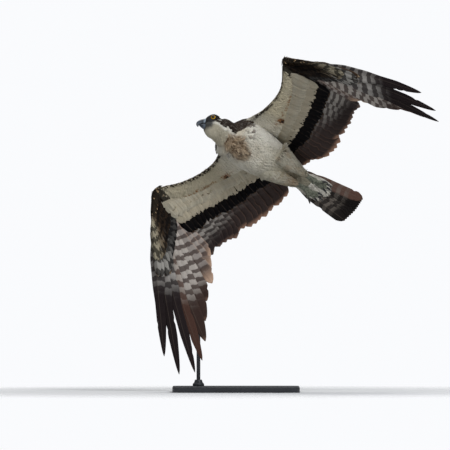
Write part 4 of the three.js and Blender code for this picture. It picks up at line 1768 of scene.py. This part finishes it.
@dataclass
class WingDress:
    """Flight feathers and the rows of coverts of one wing.

    Attributes:
        plan: where the feathers lie.
        louvre: how far each is tilted to lie on the next, in degrees.
        seed: start of the random draws.
        farther: how much farther out the outer primaries are barred, as a share of their length.
        back: colour of the primaries above.
    """

    plan: WingPlan
    louvre: float = 8.0
    seed: int = 31
    farther: float = 0.0
    back: str = "33271f"

    def tilted(self, place: Place) -> Array:
        """The leading web's direction, tilted up so that neighbours lie over each other like tiles."""
        a = radians(self.louvre)
        return place.lead * cos(a) + place.normal * sin(a)

    def secondary_look(self, t: float) -> Look:
        """Inner secondaries are nearly plain dark brown, outer ones barred with grey-white."""
        ink, inner, pale, fringe, back, outer_fringe = shades(
            "332b2a", "433835", "b7b1a9", "c99c82", "3b2d24", "7d675c"
        )
        out = smooth(t, 0.3, 0.9)
        bars, reach, strength, edge = mix(
            np.array([9, 0.66, 0.16, 0.1]), np.array([12, 0.84, 0.72, 0.06]), out
        )
        return Look(
            mix(inner, ink, out), pale, mix(fringe, outer_fringe, out), back, bars, reach, strength, edge
        )

    def primary_look(self, t: float) -> Look:
        """Inner primaries are barred with broad tan tips, outer ones are black-brown beyond a pale base."""
        i = round(t * 9)
        bars, strength = 12, 0.85
        if i <= 2:
            codes, bars, reach, strength, edge = ("4f403b", "b9b0a9", "e2bfa5"), 9.5, 0.86, 0.8, 0.21
        elif i <= 5:
            codes, bars, edge = ("43332e", "d2cac1", "8d6e5d"), 11, 0.05
            reach = mix(0.86, 0.7, (i - 3) / 2) + self.farther * 0.5
        elif i == 6:
            codes, reach, edge = ("5a4037", "c6bdb3", "6d4f42"), 0.58 + self.farther, 0.04
        else:
            codes, reach, strength, edge = (
                "2a2223", "c6c1bb", "382c2a"
            ), 0.46 + self.farther * 0.5, 0.8, 0.02
        return Look(*shades(*codes, self.back), bars, reach, strength, edge)

    def flight(self, finish: Material) -> list[Object]:
        """The secondaries and primaries as two pieces."""
        arm = FeatherBed(f"secondaries_{self.plan.name}", self.seed)
        for p in self.plan.arm():
            stray = arm.rng.normal(0, 1, 2)
            tip = p.tip + p.run * (stray[0] * 4.5) + p.lead * (stray[1] * 3.0)
            shape = blade(17, 24, 0.84, 0.42)
            place = p.root, tip, self.tilted(p), p.normal
            vane = Vane(*place, shape, bend=7, stations=26, quill=0.8, camber=0.06, columns=4, splits=2)
            arm.add(vane, self.secondary_look(p.t))
        hand = FeatherBed(f"primaries_{self.plan.name}", self.seed + 1)
        for p in self.plan.hand():
            shape, bend = primary_blade(p.t), mix(6, 12, p.t)
            place = p.root, p.tip, self.tilted(p), p.normal
            vane = Vane(*place, shape, bend, stations=40, quill=1.1, camber=0.06, columns=4, splits=3)
            hand.add(vane, self.primary_look(p.t))
        return [arm.build(finish), hand.build(finish)]

    def row(
        self, bed: FeatherBed, places: list[Place], count: int, start: float, reach: tuple[float, float],
        lift: float, half: tuple[float, float], look: Look | Callable[[float], Look],
    ) -> None:
        """Lays one row of coverts.

        Args:
            bed: where they go.
            places: the flight feathers that they follow.
            count: how many.
            start: where the row starts, as a share of the wing's part.
            reach: root in mm from the flight feathers' roots, and tip as a share of their length.
            lift: distance from the flight feathers, below where negative.
            half: half widths of the leading and trailing webs.
            look: colours, or colours by share of the row.
        """
        for k in range(count):
            t = mix(start, 1.0, (k + 0.5) / count)
            p = self.plan.between(places, t)
            stray = bed.rng.normal(0, 1, 3)
            root = p.root + p.run * reach[0] + p.normal * lift
            tip = p.root + p.run * (p.length * reach[1] + stray[0] * 0.2 * half[0]) + p.normal * (
                lift + stray[1] * 0.2
            )
            tip = tip + p.lead * stray[2] * 1.2
            shape = blade(half[0], half[1], 0.78, 0.45, 0.35)
            vane = Vane(root, tip, self.tilted(p), p.normal, shape, bend=2, stations=12, quill=0.5, thick=0.4)
            bed.add(vane, look(t) if callable(look) else look)

    def coverts(self, finish: Material) -> list[Object]:
        """Under and upper coverts of arm and hand, as two pieces."""
        cream, belly, rust, black, soot, brown, bark, edge = shades(
            HUE.cream, HUE.belly, HUE.rust, "060507", "140f0e", HUE.brown, HUE.bark, HUE.edge
        )
        white, grey, tan = shades("b9b6af", "a5a29c", "a5825f")

        # painted shade: the main colours of both lining rows are darkened by 0.85 for the wing's shaded
        # underside
        lining = Look(
            mix(cream, belly, 0.4) * 0.85, mix(cream, rust, 0.25), mix(belly, cream, 0.5), brown, 2, 1.2,
            0.35, 0.06,
        )
        rusty = Look(
            mix(cream, belly, 0.3) * 0.85, mix(cream, rust, 0.3), mix(rust, cream, 0.6), brown, 1.5, 1.2,
            0.35, 0.04,
        )
        dark = Look(black, soot, mix(soot, tan, 0.3), bark, 3, 0.9, 0.3, 0.05)
        upper = Look(brown, bark, edge, brown, 2, 0.8, 0.3, 0.07)

        def patch(t: float) -> Look:
            """Mottled dark and cream of the hand's lining."""
            cut = smooth(t, 0.5, 1.0)
            return Look(
                black, mix(tan, cream, cut), mix(soot, cream, 0.5 * cut), bark, 2.2, 1.2, 0.06 + 0.7 * cut,
                0.05,
            )

        def hand_row(t: float) -> Look:
            """Pale feathers crossed by a few dark bars."""
            cut = smooth(t, 0.4, 0.85)
            return Look(
                mix(black, soot, cut), mix(grey, white, cut), mix(soot, grey, cut), bark, 3, 1.3,
                0.15 + 0.75 * cut, 0.03,
            )

        arm, hand = (
            FeatherBed(f"coverts_{self.plan.name}_{k}", self.seed + n) for k, n in (("arm", 2), ("hand", 3))
        )
        inner, outer = self.plan.arm(), self.plan.hand()
        for bed, places, *row in (
            (arm, inner, 18, 0.0, (16, 0.6), -2.6, (14, 17), dark),
            (arm, inner, 44, 0.04, (10, 0.41), -5.2, (9.5, 11), rusty),
            (arm, inner, 42, 0.1, (2, 0.29), -6.6, (8.5, 10), lining),
            (arm, inner, 20, 0.0, (16, 0.54), 2.6, (11, 14), upper),
            (arm, inner, 26, 0.0, (8, 0.38), 4.2, (9, 11), upper),
            (arm, inner, 30, 0.0, (0, 0.26), 5.8, (8, 10), upper),
            (hand, outer, 12, 0.0, (10, 0.35), -2.6, (9, 11), hand_row),
            (hand, outer, 18, 0.0, (-8, 0.23), -4.0, (7, 8.5), patch),
            (hand, outer, 22, 0.0, (-20, 0.12), -5.0, (6, 7), patch),
            (hand, outer, 12, 0.0, (10, 0.36), 2.6, (9, 11), upper),
            (hand, outer, 18, 0.0, (-14, 0.22), 4.0, (7, 8.5), upper),
        ):
            self.row(bed, places, *row)
        self.alula(hand, Look(soot, tan, bark, bark, 4, 0.6, 0.3, 0.03))
        return [arm.build(finish), hand.build(finish)]

    def alula(self, bed: FeatherBed, look: Look) -> None:
        """Three stiff feathers of the thumb, along the hand's leading edge."""
        bone = unit(self.plan.manus - self.plan.wrist)
        out = self.plan.hand()[3]
        front = square_to(out.lead, bone)
        for k in range(3):
            root = self.plan.wrist + front * (1 - 3 * k) + bone * (4 + 7 * k) - out.normal * (1.5 + 1.4 * k)
            tip = root + bone * (74 - 12 * k) + front * (1.5 - 2 * k)
            shape = blade(5, 7, 0.6, 0.6)
            bed.add(Vane(root, tip, front, out.normal, shape, bend=1.5, stations=14, quill=0.6), look)


@dataclass
class Tail:
    """Twelve tail feathers in a narrow fan, and the coverts above and below them.

    Attributes:
        length: the middle feathers' length.
        spread: half the fan's angle in degrees.
        root_wide: half the width at the roots.
        twist: turn about the bird's own length in degrees.
        lift: turn to the left in degrees.
        highest: height of the middle pair over the tail's middle.
        step: how much lower each next pair lies.
        count: number of feathers.
        seed: start of the random draws.
    """

    length: float = 180
    spread: float = 6
    root_wide: float = 19
    twist: float = 10
    lift: float = 4.5
    highest: float = 4.5
    step: float = 1.9
    count: int = 12
    seed: int = 61

    def __post_init__(self) -> None:
        """Works out the tail's own axes."""
        twist, lift = radians(self.twist), radians(self.lift)
        self.root = on_body(-206, 0, 8)
        self.back = unit(-FORWARD + LEFT * sin(lift))
        self.side = LEFT * cos(twist) + UP * sin(twist)
        self.face = UP * cos(twist) - LEFT * sin(twist)

    def run(self, swing: float) -> Array:
        """The direction of a feather that is turned from the middle by an angle in degrees."""
        a = radians(swing)
        return self.back * cos(a) + self.side * sin(a)

    def rectrices(self, finish: Material) -> Object:
        """The tail feathers: dark brown with paler bars and rusty edges."""
        ink, pale, rust, back = shades("1e1a19", "857c73", "74564a", "3b2d24")
        bed = FeatherBed("tail_feathers", self.seed)
        for i in range(self.count):
            t = i / (self.count - 1) - 0.5
            half = self.count // 2
            pair = half - 1 - i if i < half else i - half
            lift = self.highest - self.step * pair + (self.step / 2 if t > 0 else 0)
            root = self.root + self.side * (2 * t * self.root_wide) + self.face * lift
            tip = root + self.run(2 * t * self.spread) * self.length * (1 - 0.1 * abs(t))
            outer = abs(t) > 0.45
            web = mix(ink, rust, 0.7) if outer and t > 0 else ink
            look = Look(web, pale, mix(ink, rust, 0.8 if outer else 0.35), back, 7, 0.8, 0.62, 0.03)
            lead = self.side * (1 if t > 0 else -1)
            shape = blade(14, 14, 0.88, 0.5, 0.5)
            place = root, tip, lead, self.face
            vane = Vane(*place, shape, bend=-3, stations=26, quill=0.8, camber=0.03, columns=4, splits=2)
            bed.add(vane, look)
        return bed.build(finish)

    def coverts(self, finish: Material) -> Object:
        """Undertail coverts, grey-white and streaked, and brown uppertail coverts."""
        white, grey, soot, brown, edge = shades("dad6ca", "9b968a", "4a423b", HUE.brown, HUE.edge)
        below = Look(white, grey, mix(white, grey, 0.3), brown, 2.5, 1.2, 0.6, 0.05)
        above = Look(brown, soot, edge, brown, 2, 0.8, 0.3, 0.07)
        bed = FeatherBed("tail_coverts", self.seed + 1)
        buried = 12
        for lift, share, count, look, wide in (
            (-5.5, 0.5, 8, below, 10),
            (-7.5, 0.36, 8, below, 9),
            (-9.5, 0.22, 7, below, 8),
            (6.5, 0.42, 7, above, 10),
            (8.5, 0.28, 7, above, 9),
        ):
            for i in range(count):
                t = i / (count - 1) - 0.5
                bow = copysign(1.1 * (i % 2) - 5 * abs(t), lift)
                root = self.root + self.side * (1.6 * t * self.root_wide) + self.face * (
                    lift + bow
                ) - self.back * buried
                length = self.length * share * (1 - 0.25 * abs(t)) + bed.rng.normal(0, 2)
                tip = root + self.run(1.4 * t * self.spread + bed.rng.normal(0, 1.5)) * (length + buried)
                shape = blade(wide, wide, 0.6, 0.5)
                vane = Vane(root, tip, self.side, self.face, shape, bend=0, stations=14, quill=0.4, thick=0.4)
                bed.add(vane, look)
        return bed.build(finish)


# Head fittings


@dataclass
class Bill:
    """A hooked black bill with a grey cere, nostrils and the line of the mouth."""

    gape: float = -7.9
    cere_to: float = 31.5
    nostril: tuple[float, float] = (29.5, 1.2)
    upper_rows: tuple = (
        (20, 10.5, 10, -1.2),
        (26, 9.4, 9.4, -1.8),
        (32, 7.6, 8.6, -2.6),
        (38, 5.8, 7.5, -4.0),
        (43, 4.2, 6.0, -6.4),
        (46, 2.7, 4.6, -10),
        (46.6, 1.5, 2.8, -13.8),
        (45.8, 0.5, 0.8, -17.2),
    )
    lower_rows: tuple = ((18, 10, 9, -14), (27, 9, 8.2, -13.8), (34, 6.6, 5.6, -12.6), (41, 3.2, 2.4, -11))

    @staticmethod
    def rings(rows: tuple, count: int) -> Rings:
        """Rings of half the bill, square to its own curve."""
        x, wide, high, z = (np.array(c, float) for c in zip(*rows))
        run = unit(np.stack([np.gradient(x), np.gradient(z)], 1))
        rise = CROWN * run[:, :1] - FACE * run[:, 1:]
        at = HEAD + FACE * x[:, None] + CROWN * z[:, None]
        return Rings(at, HEAD_LEFT * wide[:, None], unit(rise) * high[:, None]).refined(count)

    def half(self, name: str, rows: tuple, upper: bool, finish: Material) -> Object:
        """Builds the upper or lower half.

        Args:
            name: the piece's name.
            rows: its rings.
            upper: whether it is the upper half.
            finish: its material.

        Returns:
            The piece.
        """
        points, faces = loft(self.rings(rows, 56), 36)
        x, y, z = HEAD_AXES.place(points)
        if upper:
            held = (z < self.gape) & (x < 40)
            z = np.where(held, self.gape + 0.12 * (z - self.gape) * (x < 25), z)
        else:
            z = np.minimum(z, self.gape - 0.9)
        nx, nz = self.nostril
        hole = np.hypot((x - nx) / 1.9, (z - nz) / 1.1) * (1 if upper else 9)
        dent = 1 - smooth(hole, 0.5, 1.1)
        y = y - np.sign(y) * dent * 1.6 * (np.abs(y) > 4)
        points = HEAD + np.outer(x, FACE) + np.outer(y, HEAD_LEFT) + np.outer(z, CROWN)
        cere = 1 - smooth(x + 0.12 * z, self.cere_to - 1.2, self.cere_to + 1.2)
        tint = mix(colour(HUE.cere), colour(HUE.cere_low), smooth(-z, 2, 9)[:, None])
        # painted shade: the nostril's dent is coloured black
        tint = mix(tint, colour(HUE.black), dent[:, None])
        tint = np.hstack([tint, np.ones((len(points), 1))])
        data = MeshData()
        data.add(points, faces, tint=tint, soft=cere[:, None] * (1 if upper else 0.6))
        return data.build(name, finish)

    def mouth(self, finish: Material) -> Object:
        """The soft dark edge where the mouth runs back under the eye."""
        data = MeshData()
        for side in (1, -1):
            line = ((33, 6.3, -8.4), (27, 9.6, -8.7), (22.5, 13.4, -9.4), (17, 16.2, -10.4))
            path = [on_head(x, side * y, z) for x, y, z in line]
            data.add(*loft(tube_rings(path, [0.5, 0.9, 0.9, 0.4], CROWN).refined(20), 10))
        return data.build("mouth_edge", finish)


@dataclass
class Eyes:
    """Eyeballs with a bulging front, and their lids."""

    radius: float = EYE_R - 0.15
    rows: int = 28
    sides: int = 40

    def ball(self, side: int, finish: Material) -> Object:
        """One eyeball, whose points carry how far they are turned from its axis."""
        middle, out = eye_axis(side)
        across = square_to(CROWN, out)
        third = np.cross(out, across)
        polar = np.linspace(0, pi, self.rows)
        size = self.radius + 0.7 * np.exp(-((polar / 0.62) ** 4))
        wide = np.maximum(np.sin(polar) * size, 1e-3)[:, None]
        points, faces = loft(
            Rings(middle + out * (np.cos(polar) * size)[:, None], across * wide, third * wide), self.sides
        )
        turn = np.concatenate([np.repeat(polar / (pi / 2), self.sides), [0, 2]])
        data = MeshData()
        data.add(points, faces, turn=turn[:, None])
        return data.build("eye_left_ball" if side > 0 else "eye_right_ball", finish)

    def lids(self, finish: Material) -> Object:
        """A dark rim of skin round each eye, heavier above."""
        data = MeshData()
        for side in (1, -1):
            middle, out = eye_axis(side)
            rise = square_to(CROWN, out)
            across = np.cross(rise, out)
            angle = circle(48)
            above = np.maximum(0, np.sin(angle))
            reach = EYE_OPEN + 0.15 - 0.9 * above
            spoke = np.cos(angle)[:, None] * across + np.sin(angle)[:, None] * rise
            high = np.sqrt(np.maximum((self.radius + 0.5) ** 2 - reach**2, 0))
            at = middle + out * high[:, None] + spoke * reach[:, None]
            wide = (1.0 + 0.9 * above)[:, None]
            sides = 12
            turn = circle(sides)
            slant = unit(spoke - out * 0.55)
            normal = unit(out + spoke * 0.55)
            grid = (
                (at + slant * wide * 0.8)[:, None]
                + slant[:, None] * (np.cos(turn)[None, :, None] * wide[:, None])
                + normal[:, None] * (np.sin(turn)[None, :, None] * 0.75)
            )
            data.add(grid.reshape(-1, 3), quads(len(angle), sides, closed=True))
        lids = data.build("eyelids", finish)
        turn_out(lids.data)
        return lids


# Legs


@dataclass
class Leg:
    """A bare shank, four toes with rough scales, and four claws.

    Attributes:
        name: left or right.
        side: 1 on the left, -1 on the right.
        ankle: where the toes meet.
        turn: the foot's turn to the left in degrees.
        toes: name, turn outwards in degrees, length and claw length of each toe.
    """

    name: str
    side: int
    ankle: Array
    turn: float
    toes: tuple = (("inner", -12, 33, 20), ("middle", 2, 39, 21), ("outer", 16, 34, 20), ("hind", 38, 22, 21))

    def __post_init__(self) -> None:
        """Works out the palm and each toe's direction."""
        self.heel = HEELS[self.name]
        self.run = unit(self.ankle - self.heel)
        self.palm = self.ankle + self.run * 6
        self.ways = {}
        for toe, spread, *_ in self.toes:
            swing = radians(spread * self.side + self.turn)
            down = 0.35 if toe == "hind" else 0.06
            self.ways[toe] = unit(self.run * cos(swing) + LEFT * sin(swing) - UP * down)

    def bare(self, finish: Material) -> Object:
        """Shank and toes as one skin."""
        data = MeshData()
        path = [mix(self.heel, self.ankle, t) for t in (-0.7, -0.3, 0, 0.25, 0.5, 0.75, 1, 1.18)]
        data.add(*loft(tube_rings(path, [5.5, 6, 6.6, 6.0, 5.8, 6.1, 6.8, 5.5], LEFT).refined(30), 20))
        pad = [self.palm + self.run * x for x in (-8, -3, 3, 8)]
        data.add(*loft(tube_rings(pad, [3, 8.2, 8.2, 3], LEFT).refined(16), 20))
        for toe, _, length, _ in self.toes:
            way = self.ways[toe]
            tip = self.palm + way * length
            knee = mix(self.palm, tip, 0.55) - UP * 3.5
            line = [self.palm, mix(self.palm, knee, 0.5), knee, mix(knee, tip, 0.5), tip]
            rings = tube_rings(line, [4.9, 4.5, 4.3, 3.9, 3.4], LEFT).refined(40)
            swell = 1 + 0.13 * np.cos(np.linspace(0, 3.2 * 2 * pi, 40))[:, None]
            rings = Rings(rings.at, rings.a * swell, rings.b * swell)
            data.add(*loft(rings, 16))
        obj = melted(data.build(f"foot_skin_{self.name}"), 0.9, 3)
        dress(obj.data, finish)
        return obj

    def claws(self, finish: Material) -> Object:
        """Four curved, pointed claws."""
        data = MeshData()
        for toe, _, length, claw in self.toes:
            way = self.ways[toe]
            tip = self.palm + way * length
            curl = unit(way - UP * 0.55)
            bend = tip + way * claw * 0.35
            point = tip + way * claw * 0.3 + curl * claw * 0.4 - UP * claw * 0.38
            path = [tip - way * 3.0, tip - way * 1.0, bend, bend + curl * claw * 0.35, point]
            rings = tube_rings(path, [2.6, 3.2, 2.7, 1.8, 0.35], LEFT, 1.1).refined(30)
            data.add(*loft(rings, 16), tint=[0, 0, 0, 1], soft=[0.0])
        return data.build(f"claws_{self.name}", finish)

    def scales(self, skin: Object, tree: NodeTree) -> Object:
        """Small raised scales over the bare skin, laid by Geometry Nodes."""
        holder = enlist("scale_holder", skin.data.copy())
        holder.modifiers.new("Scales", "NODES").node_group = tree
        return applied(holder, f"foot_scales_{self.name}")


@dataclass(frozen=True)
class Scales:
    """Low, round scales spread over bare skin.

    Attributes:
        radius: a scale's radius in mm.
        spacing: distance between scales in mm.
        density: most scales on a square metre.
        flat: height as a share of the radius.
        seed: start of the random draws.
    """

    radius: float = 0.95
    spacing: float = 1.45
    density: float = 900000.0
    flat: float = 0.4
    seed: int = 4

    def tree(self, finish: Material) -> NodeTree:
        """A node tree that covers a surface with the scales.

        Args:
            finish: the scales' material.

        Returns:
            A tree with inputs for the skin, the scales' size, spacing and density, and the seed.
        """
        inputs = (
            ("Skin", "Geometry", None), ("Scale Radius", "Float", self.radius * MM),
            ("Spacing", "Float", self.spacing * MM), ("Density", "Float", self.density),
            ("Seed", "Int", self.seed),
        )
        tree, given = open_group("lay_scales", inputs, "Scales")
        spread = add_node(
            tree,
            "GeometryNodeDistributePointsOnFaces",
            {"distribute_method": "POISSON"},
            {
                "Mesh": given["Skin"], "Distance Min": given["Spacing"], "Density Max": given["Density"],
                "Seed": given["Seed"],
            },
        ).outputs
        ball = add_node(
            tree, "GeometryNodeMeshIcoSphere", {}, {"Radius": given["Scale Radius"], "Subdivisions": 1}
        )
        places = {
            "Points": spread["Points"], "Rotation": spread["Rotation"], "Instance": ball.outputs["Mesh"]
        }
        close_group(tree, stood(tree, {**places, "Scale": (1.0, 1.0, self.flat)}), finish)
        return tree


# Stand


@dataclass
class Stand:
    """A flat steel base with rounded corners, a bent rod and a collar with its screw."""

    size: tuple[float, float, float] = (330, 320, 14)
    corner: float = 24
    bevel: float = 2
    rod: float = 5
    foot: tuple[float, float] = (-98, 128)

    def base(self, finish: Material) -> Object:
        """The plate, with a rounded upper edge and a small lower one."""
        wide, deep, thick = self.size
        rows = [(0.5, 0), (0, 0.5), (0, thick - self.bevel)]
        for k in range(1, 6):
            a = k / 5 * pi / 2
            rows.append((self.bevel * (1 - cos(a)), thick - self.bevel * (1 - sin(a))))
        points = []
        steps = 16
        for inset, z in rows:
            x, y, c = wide / 2 - inset, deep / 2 - inset, self.corner - inset
            for q, (sx, sy) in enumerate(((1, 1), (-1, 1), (-1, -1), (1, -1))):
                for k in range(steps + 1):
                    a = (q + k / steps) * pi / 2
                    points.append(vec(sx * (x - c) + c * cos(a), sy * (y - c) + c * sin(a), z))
        n = 4 * (steps + 1)
        ends = [tuple(range(n - 1, -1, -1)), tuple(range((len(rows) - 1) * n, len(rows) * n))]
        data = MeshData()
        data.add(np.array(points), [*quads(len(rows), n), *ends])
        obj = data.build("stand_plate", finish)
        obj.data.polygons.foreach_set(
            "use_smooth", np.array([len(p.vertices) == 4 for p in obj.data.polygons])
        )
        return obj

    def path(self) -> list[Array]:
        """The rod's line: straight up, then in behind the wing and into the back."""
        entry = on_body(-30, -14, 46)
        bend = vec(-86, 134, 455)
        straight = [vec(*self.foot, self.size[2] + rise) for rise in (0, 150, 330)]
        return [*straight, bend, mix(bend, entry, 0.55) + vec(0, 22, 0), entry, entry - UP * 30]

    def upright(self, finish: Material) -> Object:
        """The bent rod."""
        line = np.array([spline(self.path(), t) for t in np.linspace(0, 1, 140)])
        line[0, 2] += 0.4
        data = MeshData()
        data.add(*loft(tube_rings(line, [self.rod] * 140, vec(1, 0, 0)), 28))
        return data.build("stand_upright", finish)

    def collar(self, finish: Material) -> Object:
        """The turned collar at the rod's foot, with a set screw."""
        inner = self.rod + 0.3
        outside = ((14.6, 0), (15, 0.4), (15, 4.6), (14.6, 5.2), (11.4, 8.6), (9.2, 15.4), (8.8, 16))
        profile = ((inner, 0), *outside, (inner, 16))
        sides = 48
        x, y = self.foot
        z = self.size[2] + 0.3
        angle = circle(sides)
        points = [vec(x + r * cos(a), y + r * sin(a), z + high) for r, high in profile for a in angle]
        data = MeshData()
        data.add(np.array(points), quads(len(profile), sides, closed=True))
        screw = [vec(x, y - 9.4, z + 10.8), vec(x, y - 11.6, z + 10.8), vec(x, y - 11.9, z + 10.8)]
        data.add(*loft(tube_rings(screw, [1.9, 1.9, 1.5], vec(1, 0, 0)), 20))
        obj = data.build("stand_ring", finish)
        turn_out(obj.data)
        return obj


# Stage


@dataclass(frozen=True)
class Stage:
    """Pale floor, soft sky light and the long camera."""

    distance: float = 30.0
    field_wide: float = 1.17
    middle: tuple[float, float] = (-0.0286, 0.434)
    floor_wide: float = 1400
    sky: tuple[float, float, float] = (0.955, 0.965, 0.985)

    def camera(self) -> None:
        """Looks along +Y from far off, with the photograph's framing."""
        lens = bpy.data.cameras.new("view")
        lens.sensor_width = 36
        lens.lens = 36 * self.distance / self.field_wide
        lens.clip_end = 200
        eye = enlist("view", lens)
        eye.location = (self.middle[0], -self.distance, self.middle[1])
        eye.rotation_euler = (pi / 2, 0, 0)
        bpy.context.scene.camera = eye

    def floor(self) -> None:
        """A pale round floor that fades out into the sky."""
        g = Graph("floor_pale")
        x, y, _ = g.split(g.place())
        far = g.math("SQRT", x * x + y * y)
        material = g.finish((0.86, 0.87, 0.885, 1), 0.9, Alpha=1.0 - far.step(0.35, 1.3))
        angle = circle(96)
        ring = np.stack([np.cos(angle), np.sin(angle), 0 * angle], 1) * self.floor_wide - vec(0, 0, 0.05)
        data = MeshData()
        data.add(ring, [tuple(range(96))])
        data.build("floor", material)

    def light(self) -> None:
        """Sky light from all round, brighter to the camera, and three soft lamps."""
        world = bpy.data.worlds.new("sky")
        bpy.context.scene.world = world
        world.use_nodes = True
        tree = world.node_tree
        tree.nodes.clear()
        seen = add_node(tree, "ShaderNodeBackground", {}, {0: (*self.sky, 1)})
        lit = add_node(tree, "ShaderNodeBackground", {}, {0: (0.93, 0.96, 1.0, 1), 1: 0.26})
        path = add_node(tree, "ShaderNodeLightPath")
        feeds = {0: path.outputs["Is Camera Ray"], 1: lit.outputs[0], 2: seen.outputs[0]}
        pick = add_node(tree, "ShaderNodeMixShader", {}, feeds)
        add_node(tree, "ShaderNodeOutputWorld", {}, {0: pick.outputs[0]})
        for name, at, size, power, tone in (
            ("sun", (-0.3, 0.7, 2.4), 1.2, 20, (1.0, 0.98, 0.95)),
            ("side", (1.0, -1.6, 1.8), 0.9, 30, (0.97, 0.98, 1.0)),
            ("fill", (-1.3, -2.2, 1.2), 2.0, 4, (1.0, 0.98, 0.95)),
        ):
            lamp = bpy.data.lights.new(name, "AREA")
            lamp.size = size
            lamp.energy = power
            lamp.color = tone
            obj = enlist(name, lamp)
            obj.location = at
            obj.rotation_euler = (Vector((0.1, -0.05, 0.6)) - Vector(at)).to_track_quat("-Z", "Y").to_euler()
        bpy.context.scene.view_settings.view_transform = "Standard"


# Putting it together


def settle(piece: Object, slot: str, *nodes: str) -> None:
    """Makes a piece ride on the part, hides the nodes that it stands for and logs its triangles."""
    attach(piece, BODY)
    if nodes:
        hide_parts(*nodes)
    LOG.info("%s: %d triangles", piece.name, sum(len(p.vertices) - 2 for p in piece.data.polygons))


def dress_body(wings: tuple[WingPlan, WingPlan]) -> None:
    """Skin and small feathers."""
    flesh = Flesh(wings)
    markings = Markings()
    skin = flesh.skin()
    at = mesh_rows(skin.data)
    tint, _ = markings.paint(at, flesh.guide(at))
    skin.data.attributes.new("tint", "FLOAT_COLOR", "POINT").data.foreach_set(
        "color", tint.astype(np.float32).ravel()
    )
    dress(skin.data, CoatFinish("down", has_vanes=False).material())
    coat = Coat(flesh, markings).lay(skin, CoatFinish("plumage").material())
    settle(skin, "plumage", "head", "neck", "torso", "thigh_left", "thigh_right")
    for piece in coat:
        settle(piece, "plumage")


def dress_wings(wings: tuple[WingPlan, WingPlan]) -> None:
    """Flight feathers and coverts of both wings."""
    finish = VaneFinish("flight_vanes").material()
    for plan in wings:
        wing = WingDress(plan) if plan.side < 0 else WingDress(plan, seed=41, farther=0.22)
        secondaries, primaries = wing.flight(finish)
        settle(secondaries, "flight", f"wing_{plan.name}_arm")
        settle(primaries, "flight", f"wing_{plan.name}_hand")
        for piece in wing.coverts(finish):
            settle(piece, "flight")
    tail = Tail()
    settle(tail.rectrices(finish), "flight", "tail")
    settle(tail.coverts(finish), "flight")


def dress_head() -> None:
    """Bill, mouth, eyes and lids."""
    horn = HornFinish("bill_horn", "1d2228", "4b5663").material()
    lid_skin = SkinFinish("lid_skin", "2b2c2e", "17181a").material()
    bill = Bill()
    settle(bill.half("bill_top", bill.upper_rows, True, horn), "horn", "bill_upper")
    settle(bill.half("bill_bottom", bill.lower_rows, False, horn), "horn", "bill_lower")
    settle(bill.mouth(lid_skin), "skin")
    eyes = Eyes()
    gloss = EyeFinish().material()
    settle(eyes.ball(1, gloss), "iris", "eye_left")
    settle(eyes.ball(-1, gloss), "iris", "eye_right")
    settle(eyes.lids(lid_skin), "skin")


def dress_legs() -> None:
    """Bare shanks, toes, scales and claws."""
    skin = SkinFinish("foot_skin", "7d806f", "484b3f").material()
    raised = SkinFinish("foot_scale", "8f9280", "686b5c").material()
    horn = HornFinish("claw_horn", "0d0d0e", "2b2927", 0.28).material()
    tree = Scales().tree(raised)
    for leg in (Leg("left", 1, on_body(-204, 37, -41), 6), Leg("right", -1, on_body(-202, 6, -45), 1)):
        bare = leg.bare(skin)
        scales = leg.scales(bare, tree)
        settle(bare, "skin", f"shank_{leg.name}", f"foot_{leg.name}")
        settle(scales, "skin")
        settle(leg.claws(horn), "horn", *(f"claw_{leg.name}_{toe}" for toe, *_ in leg.toes))


def dress_stand() -> None:
    """Base, rod and collar."""
    steel = SteelFinish().material()
    stand = Stand()
    settle(stand.base(steel), "steel", "stand_base")
    settle(stand.upright(steel), "steel", "stand_rod")
    settle(stand.collar(steel), "steel", "stand_collar")


def main() -> None:
    """Builds the stage and every sub-assembly in order."""
    logging.basicConfig(level=logging.INFO, format="%(name)s %(message)s")
    stage = Stage()
    stage.camera()
    stage.floor()
    stage.light()
    wings = wing_plans()
    dress_stand()
    dress_body(wings)
    dress_wings(wings)
    dress_head()
    dress_legs()


if __name__ == "__main__":
    main()
